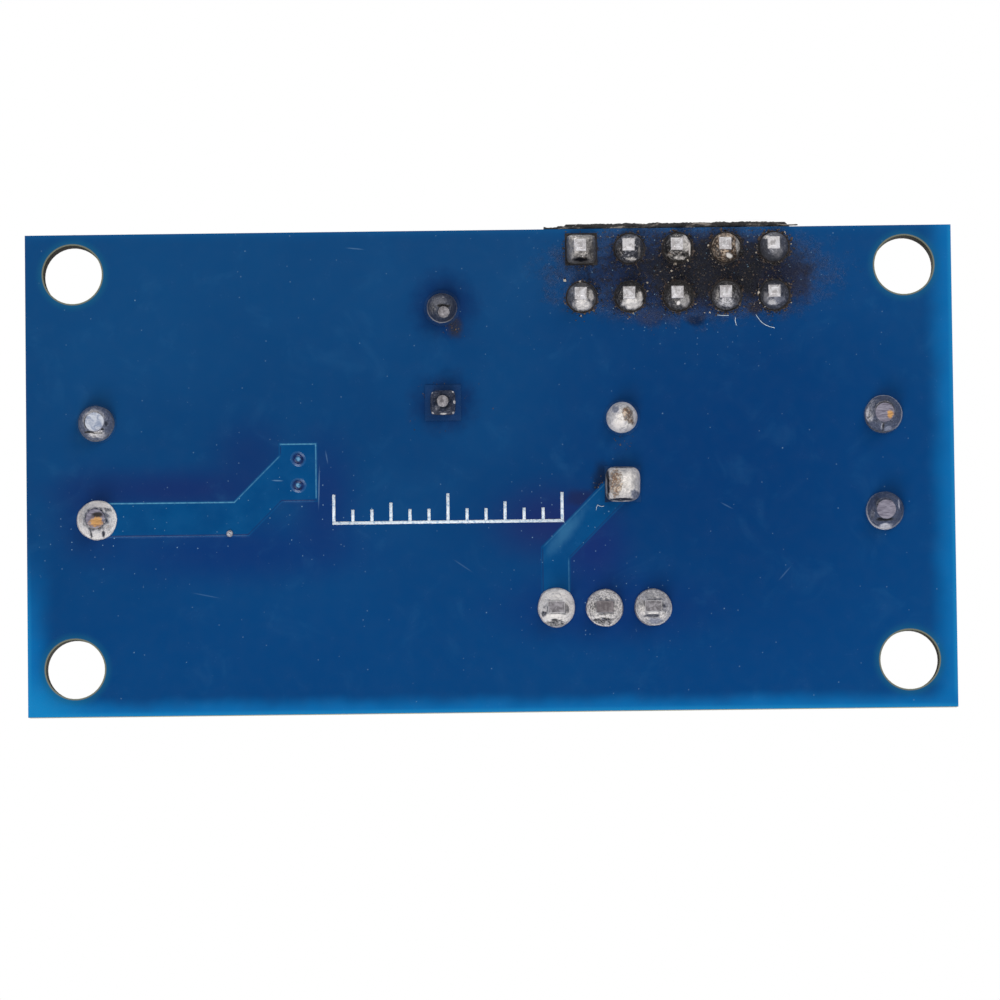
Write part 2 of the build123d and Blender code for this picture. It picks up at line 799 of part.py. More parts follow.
def component_tracks():
    """The tracks on the component side: diode to regulator, regulator to the outputs, and the light."""
    low = board_thickness
    diode_in_x = diode_x - diode_length / 2 - diode_reach
    diode_out_x = diode_x + diode_length / 2 + diode_reach
    capacitor_x, capacitor_y = large_capacitor_positive
    supply = strip([(diode_out_x, diode_y), (capacitor_x, diode_y - (capacitor_x - diode_out_x)),
                    large_capacitor_positive], supply_track_width, low)
    in_x, in_y = regulator_in
    back_y = board_back - supply_track_back
    supply += strip([(supply_track_x, diode_y), (supply_track_x, back_y - supply_track_width),
                     (supply_track_x + supply_track_width, back_y), (in_x - supply_track_width, back_y),
                     (in_x, back_y - supply_track_width), regulator_in], supply_track_width, low)
    out_x, out_y = small_capacitor_positive
    end_x, end_y = output_positive
    run_y = end_y + supply_track_width
    output = strip([small_capacitor_positive, (header_branch_x - (out_y - run_y), out_y),
                    (header_branch_x, run_y), (end_x - supply_track_width, run_y), output_positive],
                   supply_track_width, low)
    rear_y = header_points[-1][1]
    branch = strip([(header_branch_x, run_y), (header_branch_x, rear_y)], supply_track_width, low)
    branch += strip([header_points[header_columns], header_points[-1]], header_track_width, low)
    pad_x = chip_length / 2
    feed = strip([(light_branch_x, run_y), (light_branch_x, resistor_y - pad_x),
                  (light_branch_x + pad_x, resistor_y), (resistor_x - pad_x, resistor_y)],
                 light_track_width, low)
    link = strip([(resistor_x + pad_x, resistor_y), (light_x + pad_x, light_y)], light_track_width, low)
    input_side = via_field(low) + strip([(via_x, diode_y), (diode_in_x, diode_y)], diode_strip_width, low)
    cuts = [(point, header_pad_radius, i == 0) for i, point in enumerate(header_points)] + via_cuts
    cuts += [(output_positive, terminal_pad_radius, False), (regulator_in, regulator_pad_radius, False)]
    cuts += [(large_capacitor_positive, capacitor_pad_radius, True),
             (small_capacitor_positive, capacitor_pad_radius, True)]
    tracks = []
    for track in (supply, output + branch + feed, link, input_side):
        track = clear_of(track, cuts)
        for name in smd_places:
            for pad in smd_ends(smd_pad, name):
                track -= pad
        tracks.append(track)
    return tracks


# Making and writing the nodes


os.makedirs("parts", exist_ok=True)

write("circuit_board", circuit_board())
write("input_track", input_track())
write("output_track", output_track())
write("component_side_tracks", *component_tracks())
write("vias", *plated_holes(via_points, via_hole_radius, via_pad_radius))
write("header_pads", *plated_holes(header_points, header_hole_radius, header_pad_radius, 0))
for terminal, points in (("input", input_terminal_points), ("output", output_terminal_points)):
    write(f"{terminal}_terminal_pads", *plated_holes(points, terminal_hole_radius, terminal_pad_radius))
write("large_capacitor_pads",
      *plated_holes(large_capacitor_points, capacitor_hole_radius, capacitor_pad_radius, 1))
write("small_capacitor_pads",
      *plated_holes(small_capacitor_points, capacitor_hole_radius, capacitor_pad_radius, 1))
write("regulator_pads", *plated_holes(regulator_points, regulator_hole_radius, regulator_pad_radius))

header_pins = [header_pin(point) for point in header_points]
write("header_pins", *header_pins)
write("header_insulator", header_insulator(header_pins))
write("header_solder", *[
    solder_joint(point, pin, header_hole_radius, header_pad_radius, header_pin_width / 2,
                 solder_height, solder_sink, i == 0)
    for i, (point, pin) in enumerate(zip(header_points, header_pins))])

for terminal, pin_x, turn in (("input", input_pin_x, 0), ("output", output_pin_x, 180)):
    block_place = Pos(pin_x, terminal_row_y, seat) * Rot(0, 0, turn)
    contacts = [block_place * Pos(0, offset, 0) * contact() for offset in pole_offsets]
    write(f"{terminal}_terminal_housing", block_place * housing())
    write(f"{terminal}_terminal_contacts", *contacts)
    joints = []
    for number, offset in enumerate(pole_offsets, 1):
        pole_place = block_place * Pos(0, offset, 0)
        write(f"{terminal}_clamp_cage_{number}", pole_place * clamp_cage())
        screw = clamp_screw(clamp_slot_turns[(number - 1) % len(clamp_slot_turns)])
        write(f"{terminal}_clamp_screw_{number}", pole_place * screw)
        point = (pole_place.position.X, pole_place.position.Y)
        joints.append(solder_joint(point, join(contacts), terminal_hole_radius, terminal_pad_radius,
                                   terminal_pin_radius, terminal_solder_height, terminal_solder_sink))
    write(f"{terminal}_terminal_solder", *joints)

for size, x, y, diameter, height, pitch, points in (
        ("large", large_capacitor_x, large_capacitor_y, large_capacitor_diameter,
         large_capacitor_height, large_capacitor_pitch, large_capacitor_points),
        ("small", small_capacitor_x, small_capacitor_y, small_capacitor_diameter,
         small_capacitor_height, small_capacitor_pitch, small_capacitor_points)):
    stand = Pos(x, y, seat)
    can, sleeve, bung, leads = capacitor(diameter, height, pitch)
    leads = [stand * lead for lead in leads]
    write(f"{size}_capacitor_can", stand * can)
    write(f"{size}_capacitor_sleeve", stand * sleeve)
    write(f"{size}_capacitor_bung", stand * bung)
    write(f"{size}_capacitor_leads", *leads)
    write(f"{size}_capacitor_solder", *[
        solder_joint(point, lead, capacitor_hole_radius, capacitor_pad_radius, capacitor_lead_radius,
                     solder_height, solder_sink, i == 1)
        for i, (point, lead) in enumerate(zip(points, leads))])

outer_leads = [lead_blank(x, regulator_bottom + lead_inset) for x, y in (regulator_out, regulator_in)]
tab = regulator_tab()
write("regulator_leads", *outer_leads)
write("regulator_tab", tab)
write("regulator_body", regulator_body(outer_leads + [tab]))
write("regulator_solder", *[
    solder_joint(point, lead, regulator_hole_radius, regulator_pad_radius, regulator_lead_width / 2,
                 solder_height, terminal_solder_sink)
    for point, lead in zip(regulator_points, (outer_leads[0], tab, outer_leads[1]))])
write("thermal_paste", thermal_paste())
write("heatsink", heatsink())
write("heatsink_screw", heatsink_screw())
write("heatsink_washer", heatsink_washer())
write("heatsink_nut", heatsink_nut())

diode_body, diode_strips = diode()
write("diode_body", smd_place("diode") * diode_body)
write("diode_terminals", *[smd_place("diode") * one for one in diode_strips])
resistor_body, resistor_caps = chip(resistor_height)
write("resistor_body", smd_place("resistor") * resistor_body)
write("resistor_caps", *[smd_place("resistor") * cap for cap in resistor_caps])
light_base, light_caps, light_lens = light()
write("light_base", smd_place("light") * light_base)
write("light_caps", *[smd_place("light") * cap for cap in light_caps])
write("light_lens", smd_place("light") * light_lens)
ceramic_body, ceramic_caps = chip(ceramic_height)
ceramics = ("input_ceramic", "output_ceramic")
write("ceramic_bodies", *[smd_place(name) * ceramic_body for name in ceramics])
write("ceramic_caps", *[smd_place(name) * cap for name in ceramics for cap in ceramic_caps])
write("surface_pads", *[pad for name in smd_places for pad in smd_ends(smd_pad, name)])
write("surface_solder", *[bead for name in smd_places for bead in smd_ends(smd_solder, name)])
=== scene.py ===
import bpy
import numpy as np
from mathutils import Matrix, Vector


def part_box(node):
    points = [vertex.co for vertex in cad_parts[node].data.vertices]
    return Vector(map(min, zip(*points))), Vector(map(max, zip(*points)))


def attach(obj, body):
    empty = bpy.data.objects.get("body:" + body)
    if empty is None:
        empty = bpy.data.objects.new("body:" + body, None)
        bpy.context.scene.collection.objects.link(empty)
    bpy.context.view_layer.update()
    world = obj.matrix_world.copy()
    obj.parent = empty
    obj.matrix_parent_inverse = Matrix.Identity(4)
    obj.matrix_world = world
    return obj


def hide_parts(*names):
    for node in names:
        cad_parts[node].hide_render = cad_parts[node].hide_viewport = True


# Dresses the voltage regulator module. Sizes are written in millimetres and become metres in the meshes.
# Colours of materials are written as they look on a screen, from 0 to 255.
# +Z points out of the component side, so the solder side faces down and the camera looks up at it.

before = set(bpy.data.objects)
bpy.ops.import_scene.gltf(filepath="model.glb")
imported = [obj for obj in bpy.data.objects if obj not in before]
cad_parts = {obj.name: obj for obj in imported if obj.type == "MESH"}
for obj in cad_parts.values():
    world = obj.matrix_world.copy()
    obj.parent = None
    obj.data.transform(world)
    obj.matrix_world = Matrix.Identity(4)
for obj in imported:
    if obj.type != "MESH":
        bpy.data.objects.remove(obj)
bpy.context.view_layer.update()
mm = 0.001

# Places on the board, as in the part's source
board_left, board_right = -24.4, 24.4
board_front, board_back = -12.5, 12.9
board_thickness = 1.6
copper = 0.05
header_x, header_y, header_pitch, header_columns = 10.0, -10.15, 2.54, 5
header_lean = (-0.06, -0.1)
terminal_x, terminal_y, pole_pitch = 20.7, 0.03, 5.08
large_x, large_y, large_pitch = -2.45, -5.9, 5.0
small_x, small_y, small_pitch = 6.95, -0.75, 3.5
capacitor_lead_radius = 0.3
regulator_x, regulator_y, regulator_pitch = 5.92, 7.5, 2.54
via_x, via_y, via_pitch = -10.1, 0.17, 1.39
hole_x, hole_y, hole_radius = 21.9, 10.4, 1.55
bolt_x, bolt_z, bolt_radius = regulator_x, 18.3, 1.5
lead_tip = -1.35

# Sizes of what is only drawn here
bead_sides, bead_rings, painted_rim_rings = 96, 30, 5
bead_foot, rim_wander = 0.03, 0.008
blot_ragged, blot_grain, blot_inside, blot_outside = 0.22, 0.28, 0.75, 1.25
terminal_fill_radius, regulator_fill_radius = 0.65, 0.6
via_sides = 48
thread_pitch, thread_height = 0.5, 0.13
ink_width, scale_width = 0.15, 0.16
ink_low, ink_high = board_thickness - 0.002, board_thickness + 0.018
floor_height, floor_half = -1.52, 900.0

# Marks kept at each solder point: the first sets the painted highlights, reflections and shade of the solder,
# then speckle and burn.
joint_marks = ("painted_light", "speckle", "burn")


# Colours and shader nodes


def tone(red, green, blue):
    """A screen colour turned into the linear values that shaders take."""
    levels = np.array([red, green, blue]) / 255
    linear = np.where(levels <= 0.04045, levels / 12.92, ((levels + 0.055) / 1.055) ** 2.4)
    return (*linear.tolist(), 1.0)


class Nodes:
    """A node tree while it is put together. Each input takes a value or another node's output."""

    def __init__(self, tree):
        self.tree = tree

    def plug(self, socket, value):
        if isinstance(value, bpy.types.NodeSocket):
            self.tree.links.new(value, socket)
        else:
            socket.default_value = value

    def add(self, kind, inputs=None, **settings):
        node = self.tree.nodes.new(kind)
        for key, value in settings.items():
            setattr(node, key, value)
        for key, value in (inputs or {}).items():
            self.plug(node.inputs[key], value)
        return node

    def sums(self, operation, *values):
        return self.add("ShaderNodeMath", dict(enumerate(values)), operation=operation).outputs[0]

    def plus(self, first, second):
        return self.sums("ADD", first, second)

    def minus(self, first, second):
        return self.sums("SUBTRACT", first, second)

    def times(self, first, *others):
        for other in others:
            first = self.sums("MULTIPLY", first, other)
        return first


class Finish(Nodes):
    """A material while its nodes are put together."""

    def __init__(self, name, colour=(188, 188, 188), rough=0.5, metal=0.0, **sockets):
        self.material = bpy.data.materials.new(name)
        self.material.use_nodes = True
        super().__init__(self.material.node_tree)
        self.shader = self.tree.nodes["Principled BSDF"]
        values = {"Base Color": tone(*colour), "Roughness": rough, "Metallic": metal}
        values.update({key.replace("_", " "): value for key, value in sockets.items()})
        for key, value in values.items():
            self.shader.inputs[key].default_value = value
        self.places = self.add("ShaderNodeTexCoord").outputs["Object"]

    def dress(self, colour=None, rough=None, metal=None, normal=None):
        """Gives the shader what has been worked out for it."""
        given = {"Base Color": colour, "Roughness": rough, "Metallic": metal, "Normal": normal}
        for socket, output in given.items():
            if output is not None:
                self.plug(self.shader.inputs[socket], output)
        return self

    def grain(self, size, detail=3.0, rough=0.55, stretch=(1, 1, 1), warp=0.0):
        """Noise whose features are about size millimetres across, longer where stretch is above 1."""
        scale = [1 / (size * mm * s) for s in stretch]
        moved = self.add("ShaderNodeMapping", {"Vector": self.places, "Scale": scale})
        inputs = {"Vector": moved.outputs[0], "Scale": 1.0, "Detail": detail, "Roughness": rough,
                  "Distortion": warp}
        return self.add("ShaderNodeTexNoise", inputs).outputs["Fac"]

    def swing(self, noise, amount):
        """Noise moved to lie around 0, then multiplied."""
        return self.times(self.minus(noise, 0.5), amount)

    def step(self, value, low, high, start=0.0, end=1.0):
        """Goes smoothly from start to end as value goes from low to high."""
        inputs = {"Value": value, "From Min": low, "From Max": high, "To Min": start, "To Max": end}
        return self.add("ShaderNodeMapRange", inputs, interpolation_type="SMOOTHSTEP").outputs["Result"]

    def blend(self, share, first, second, mode="MIX"):
        """From the first colour to the second, each a screen colour or another node's output."""
        node = self.add("ShaderNodeMix", {0: share}, data_type="RGBA", blend_type=mode)
        sockets = [socket for socket in node.inputs if socket.type == "RGBA"]
        for socket, colour in zip(sockets, (first, second)):
            self.plug(socket, tone(*colour) if isinstance(colour, tuple) else colour)
        return next(socket for socket in node.outputs if socket.type == "RGBA")

    def lay(self, colour, share, most, shade):
        """The colour with a shade over it, by the share times the most."""
        return self.blend(self.times(share, most), colour, shade)

    def clouds(self, noise, low, high, first, second):
        """Patches of two colours, where the noise is low and high."""
        return self.blend(self.step(noise, low, high), first, second)

    def axes(self):
        """The object's X, Y and Z in millimetres."""
        split = self.add("ShaderNodeSeparateXYZ", {"Vector": self.places})
        return [self.times(split.outputs[i], 1 / mm) for i in range(3)]

    def spot(self, centre, size, soft=0.5, ragged=None, turn=0.0):
        """1 inside an ellipse on the board, falling to 0 over the soft share of its size."""
        inputs = {"Vector": self.places, "Location": [c * mm for c in (*centre, 0)],
                  "Rotation": (0, 0, turn), "Scale": [s * mm for s in (*size, 1e3)]}
        placed = self.add("ShaderNodeMapping", inputs, vector_type="TEXTURE")
        reach = self.add("ShaderNodeVectorMath", {0: placed.outputs[0]}, operation="LENGTH").outputs["Value"]
        if ragged is not None:
            reach = self.plus(reach, ragged)
        return self.step(reach, 1 - soft, 1 + soft, 1.0, 0.0)

    def value_of(self, name):
        """A number kept at each point of the mesh."""
        return self.add("ShaderNodeAttribute", attribute_name=name).outputs["Fac"]

    def relief(self, height, depth, base=None):
        """A bump whose full height is depth millimetres."""
        inputs = {"Height": height, "Distance": depth * mm, "Strength": 1.0}
        if base is not None:
            inputs["Normal"] = base
        return self.add("ShaderNodeBump", inputs).outputs["Normal"]

    def round_edges(self, radius):
        """Normals that turn smoothly over sharp edges, as far as radius millimetres from them."""
        return self.add("ShaderNodeBevel", {"Radius": radius * mm}, samples=6).outputs["Normal"]

    def wear(self, rounded):
        """1 on edges, 0 on flats, by how far the rounded normals turn from the true ones: for painted edge
        highlights and rubbed edges.
        """
        true = self.add("ShaderNodeNewGeometry").outputs["Normal"]
        same = self.add("ShaderNodeVectorMath", {0: rounded, 1: true}, operation="DOT_PRODUCT")
        return self.step(same.outputs["Value"], 1.0, 0.8)


# Surfaces


def grid_faces(rows, columns):
    """Quads between neighbours of a grid of points, the last column joined to the first."""
    index = np.arange(rows * columns).reshape(rows, columns)
    ahead = np.roll(index, -1, axis=1)
    return np.stack([index[:-1], ahead[:-1], ahead[1:], index[1:]], axis=-1).reshape(-1, 4)


def turn_outwards(points, quads, triangles):
    """Faces in the order that points them outwards: the signed volume under them has to be positive."""
    split = np.vstack([quads[:, :3], quads[:, [0, 2, 3]], triangles])
    a, b, c = (points[split[:, i]] - points.mean(0) for i in range(3))
    if (a * np.cross(b, c)).sum() < 0:
        quads, triangles = quads[:, ::-1], triangles[:, ::-1]
    return points, quads, triangles


def closed_shape(rings):
    """A solid from rings of points: quads between the rings, and a fan to the middle of each end ring."""
    rows, columns = rings.shape[:2]
    count = rows * columns
    first, last = np.arange(columns), np.arange(columns) + count - columns
    points = np.vstack([rings.reshape(-1, 3), rings[0].mean(0), rings[-1].mean(0)])
    fan_low = np.stack([np.full(columns, count), np.roll(first, -1), first], axis=-1)
    fan_high = np.stack([np.full(columns, count + 1), last, np.roll(last, -1)], axis=-1)
    return turn_outwards(points, grid_faces(rows, columns), np.vstack([fan_low, fan_high]))


def turned_shape(centre, profile, sides, wobble=1.0):
    """A solid of revolution: a profile of radius and height, carried round a centre on the board."""
    angle = np.linspace(0, 2 * np.pi, sides, endpoint=False)
    x, y = np.cos(angle) * wobble, np.sin(angle) * wobble
    rings = [np.column_stack([centre[0] + r * x, centre[1] + r * y, np.full(sides, z)]) for r, z in profile]
    return closed_shape(np.array(rings))


def make_mesh(name, points, faces, finish, slot, replaced=(), body="root", marks=None, flat=False):
    """One object from points in millimetres, with numbers kept at its points, riding on a body."""
    mesh = bpy.data.meshes.new(name)
    mesh.from_pydata((points * mm).tolist(), [], faces)
    if not flat:
        mesh.shade_smooth()
    for mark, values in (marks or {}).items():
        layer = mesh.attributes.new(mark, "FLOAT", "POINT")
        layer.data.foreach_set("value", np.asarray(values, np.float32))
    mesh.materials.append(finish.material)
    piece = bpy.data.objects.new(name, mesh)
    bpy.context.scene.collection.objects.link(piece)
    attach(piece, body)
    if replaced:
        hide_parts(*replaced)


def make_piece(name, shapes, finish, slot, **settings):
    """Several shapes as one object, their faces counted on from each other, quads before triangles."""
    starts = np.cumsum([0] + [len(shape[0]) for shape in shapes])
    faces = [(shape[kind] + start).tolist() for kind in (1, 2) for shape, start in zip(shapes, starts)]
    make_mesh(name, np.vstack([shape[0] for shape in shapes]), sum(faces, []), finish, slot, **settings)


def ripple(x, y, size, seed):
    """Smooth unevenness: 1.6 times the mean of eight sine waves in random directions, about size long."""
    chance = np.random.default_rng(seed)
    turn = chance.uniform(0, 2 * np.pi, 8)
    pace = 2 * np.pi / (size * chance.uniform(0.7, 1.6, 8))
    start = chance.uniform(0, 2 * np.pi, 8)
    along = np.multiply.outer(x, np.cos(turn) * pace) + np.multiply.outer(y, np.sin(turn) * pace)
    return np.sin(along + start).mean(-1) * 1.6


def outline(angle, half_x, half_y, square):
    """A superellipse: |x/a|^n + |y/b|^n = 1, round at n = 2 and nearly a rectangle at n = 8."""
    c, s = np.cos(angle), np.sin(angle)
    reach = (np.abs(c / half_x) ** square + np.abs(s / half_y) ** square) ** (-1 / square)
    return np.stack([reach * c, reach * s], axis=-1)


def directions(path):
    """The unit direction of a path at each of its points."""
    ahead = np.gradient(path, axis=0)
    return ahead / np.linalg.norm(ahead, axis=1)[:, None]


def tube(path, radius, sides=8):
    """A tube along a path: a circle across each point's direction, its radius a value or one a point."""
    path = np.array(path, float)
    ahead = directions(path)
    across = np.cross(ahead, (0.1, 0.2, 1.0))
    across /= np.linalg.norm(across, axis=1)[:, None]
    over = np.cross(ahead, across)
    turn = np.linspace(0, 2 * np.pi, sides, endpoint=False)
    reach = np.broadcast_to(radius, len(path))[:, None, None]
    circle = across[:, None] * np.cos(turn)[None, :, None] + over[:, None] * np.sin(turn)[None, :, None]
    return closed_shape(path[:, None] + reach * circle)


# Solder joints


def solder_finish():
    """Tin solder by the marks at its points: painted highlights, reflections and shade from the first mark,
    pitted, crusted or tinted blue-grey.
    """
    made = Finish("tin_solder", metal=0.8)
    frost = made.grain(0.13, detail=4, rough=0.65, warp=0.5)
    mottle = made.grain(0.28, detail=4, rough=0.6, warp=1.2)
    painted_light, speckle, burn = (made.value_of(mark) for mark in joint_marks)
    pits = made.times(speckle, made.step(frost, 0.47, 0.54), 0.9)
    # The painted light level: near black for painted shade and near white for painted highlights and
    # reflections, mottled and lowered in pits.
    level = made.times(painted_light, made.step(mottle, 0.3, 0.65, 0.72, 1.12), made.minus(1.0, pits))
    colour = made.blend(level, (24, 24, 28), (255, 248, 242))
    # Painted glints: pale specks where the solder is speckled.
    painted_glints = made.times(made.step(made.grain(0.12, detail=2), 0.58, 0.62), speckle)
    colour = made.lay(colour, painted_glints, 0.75, (236, 230, 224))
    crust = made.step(made.plus(made.times(burn, 0.8), mottle), 0.7, 0.95)
    colour = made.lay(colour, crust, burn, made.clouds(frost, 0.42, 0.6, (44, 30, 24), (150, 112, 80)))
    cream = made.times(made.step(made.grain(0.16, detail=3, warp=0.4), 0.52, 0.58), crust)
    colour = made.lay(colour, cream, 0.8, (216, 198, 178))
    # Below 0, burn tints the solder blue-grey and makes it less metallic.
    haze = made.sums("MAXIMUM", made.times(burn, -1.0), 0.0)
    colour = made.blend(haze, colour, (176, 190, 226), mode="MULTIPLY")
    colour = made.lay(colour, haze, 0.35, (74, 92, 128))
    rough = made.plus(made.step(mottle, 0.3, 0.7, 0.3, 0.46), made.times(crust, 0.25))
    metal = made.times(made.step(painted_light, 0.25, 0.95, 0.85, 0.12), made.minus(1.0, made.times(haze, 0.85)))
    uneven = made.plus(mottle, made.times(frost, 0.5))
    return made.dress(colour, rough, metal, made.relief(uneven, 0.07))


def blotted(x, y, base, blots, seed):
    """Painted light and shade, speckle and burn at each point: the base, with each blot over it, a
    ragged-edged ellipse.
    """
    looks = np.ones(x.shape + (len(joint_marks),)) * base
    ragged = blot_ragged * ripple(x, y, blot_grain, seed)
    for right, down, wide, high, *look in blots:
        reach = np.hypot((x - right) / wide, (y - down) / high) + ragged
        share = np.clip((blot_outside - reach) / (blot_outside - blot_inside), 0, 1)[..., None]
        look += [0] * (len(joint_marks) - len(look))
        looks = looks * (1 - share) + np.array(look) * share
    return looks


def solder_bead(centre, rim, lead, height, seed, lean=(0, 0), square=2, lead_square=2, hollow=1.5, dome=0.3,
                lumps=0.05, tongue=0.0, base=(0.4, 0.4, 0), blots=(), edge=None):
    """Solder from a lead's outline out to its pad's rim, and how it looks at each point.

    Each point lies at a share s of the way from the lead to the rim, and its depth below the board is
    height * ((1 - dome) * (1 - s)^hollow + dome * (1 - s^2)^0.5), plus lumps that fade at the rim.
    The rim's radius wanders a little, and a tongue pulls it out towards -Y. An edge of brightness and
    direction paints a highlight along the rim as a pale line, brightest in that direction and a fifth as
    bright across from it.
    """
    angle = np.linspace(0, 2 * np.pi, bead_sides, endpoint=False)
    share = np.linspace(0, 1, bead_rings)[:, None]
    inner = outline(angle, *lead, lead_square) + np.array(lean)
    waves = np.sin(2 * angle + seed) + np.sin(3 * angle + 2 * seed) + 0.6 * np.sin(7 * angle + seed)
    wander = 1 + rim_wander * waves
    pulled = 1 + tongue * np.clip(2.4 * np.clip(-np.sin(angle), 0, 1) ** 3, 0, 1)
    outer = outline(angle, rim, rim, square) * (wander * pulled)[:, None]
    flat = inner * (1 - share[..., None]) + outer * share[..., None]
    x, y = flat[..., 0], flat[..., 1]
    fall = (1 - dome) * (1 - share) ** hollow + dome * np.sqrt(1 - share ** 2)
    fade = np.sin(np.pi * share ** 0.7) ** 0.6
    rough = ripple(x, y, 0.8, seed) + 0.4 * ripple(x, y, 0.3, seed + 1)
    depth = height * fall + lumps * fade * rough + copper * np.clip((1 - share) * 12, 0, 1)
    rings = np.concatenate([flat, -np.maximum(depth, 0)[..., None]], axis=-1)
    mouth = np.concatenate([inner * 0.9, np.full((bead_sides, 1), -height * 0.98)], axis=-1)[None]
    foot = np.concatenate([outer, np.full((bead_sides, 1), bead_foot)], axis=-1)[None]
    rings = np.vstack([mouth, rings, foot])
    looks = blotted(rings[..., 0], rings[..., 1], base, blots, seed)
    if edge:
        brightness, direction = edge
        # Painted highlight: a pale line along the rim, brightest towards the edge's direction.
        line = brightness * (0.6 + 0.4 * np.cos(angle - direction))
        painted_light, burn = looks[-painted_rim_rings:, :, 0], looks[-painted_rim_rings:, :, 2]
        painted_light[:] = np.maximum(painted_light * 0.7, line)
        burn[:] = np.minimum(burn, 0) * 0.3
    rings[..., :2] += np.array(centre)
    looks = np.vstack([looks.reshape(-1, 3), looks[0].mean(0), looks[-1].mean(0)])
    return closed_shape(rings), looks


def barrel(centre, radius):
    """The solder that fills a plated hole, with a low hollow fillet round the lead on the component side."""
    top = board_thickness + copper
    profile = [(radius * 0.98, -0.02), (radius * 0.98, top), (radius * 1.25, top + 0.005),
               (radius * 1.05, top + 0.05), (radius * 0.85, top + 0.16), (radius * 0.7, top + 0.3)]
    shape = turned_shape(centre, profile, 32)
    return shape, np.ones((len(shape[0]), 3)) * (0.7, 0.2, 0)


def solder_piece(name, joints, **settings):
    looks = np.vstack([looks for shape, looks in joints])
    marks = {mark: looks[:, i] for i, mark in enumerate(joint_marks)}
    make_piece(name, [shape for shape, looks in joints], solder, "solder", marks=marks, **settings)


def solder_row(row, joints):
    solder_piece(f"{row}_solder_beads", joints, replaced=[f"{row}_solder"])


solder = solder_finish()

# Each blot: right and down from the joint's middle, half width, half height, then painted light, speckle and
# burn.
# What is left out is 0. The painted light is the solder's painted highlight and shade. Burn above 0 is a
# brown crust, and below 0 a blue-grey tint that makes the solder less metallic.
header_joints = [
    dict(square=6, base=(0.3, 0.4, 0), dome=0.75, blots=[
        (-0.35, 0, 0.3, 0.6, 0.4, 0.3), (0, 0.6, 0.4, 0.1, 0, 0, 0.2), (-0.74, -0.7, 0.1, 0.1, 0.9),
        (0.74, -0.7, 0.1, 0.1, 0.9)]),
    dict(base=(0.12, 0.8, -0.3), blots=[
        (0.1, 0.6, 0.24, 0.08, 0.9, 0.6), (-0.5, 0.1, 0.2, 0.3, 0.2, 0.8, 0.2),
        (0.5, 0.2, 0.06, 0.3, 0.5, 0.6)]),
    dict(base=(0.08, 0.8, 0.2), blots=[
        (0.4, -0.2, 0.2, 0.5, 0.9, 0.5), (0.62, 0.1, 0.06, 0.4, 1.1), (0.1, 0.58, 0.35, 0.1, 0.8, 0.8),
        (-0.4, 0.4, 0.2, 0.1, 0.5, 1, 0.4)]),
    dict(base=(0.06, 0.6, 0.5), blots=[
        (0.62, -0.1, 0.12, 0.5, 0.7, 0.5, 0.1), (0.15, 0.5, 0.16, 0.12, 1),
        (-0.5, 0.3, 0.25, 0.2, 0.3, 0.8, 0.5)]),
    dict(base=(0.12, 0.3, -0.4), dome=0.8, blots=[
        (-0.45, -0.45, 0.2, 0.1, 0.9, 0.6), (0.1, 0.3, 0.3, 0.3, 0.3, 0.3, -0.3)]),
    dict(base=(0.3, 0.5, 0.1), blots=[
        (0.05, 0.45, 0.45, 0.25, 0.95, 0.2), (0.5, 0, 0.14, 0.3, 0.8, 0.2),
        (-0.45, -0.3, 0.2, 0.2, 0.5, 0.6)]),
    dict(base=(0.12, 0.6, 0.2), blots=[
        (0.12, 0.4, 0.5, 0.28, 1, 0.1), (0.5, 0.1, 0.16, 0.35, 0.9, 0.3)]),
    dict(base=(0.14, 0.6, 0.1), blots=[
        (0.35, 0.32, 0.26, 0.3, 0.65, 0.3), (0, 0.45, 0.1, 0.1, 1)]),
    dict(base=(0.3, 0.9, -0.2), blots=[
        (0, 0.42, 0.42, 0.2, 0.85, 0.7, -0.2), (0.2, -0.3, 0.3, 0.2, 0.1, 0.9, 0.2),
        (-0.5, 0.1, 0.1, 0.3, 0.6, 0.9)]),
    dict(base=(0.12, 0.5, -0.4), dome=0.7, blots=[
        (-0.1, 0.45, 0.3, 0.14, 0.8, 0.3, -0.2), (-0.5, 0.2, 0.12, 0.3, 0.5, 0.2, -0.3),
        (0.2, 0.3, 0.3, 0.2, 0.36, 0.3, -0.5)]),
]
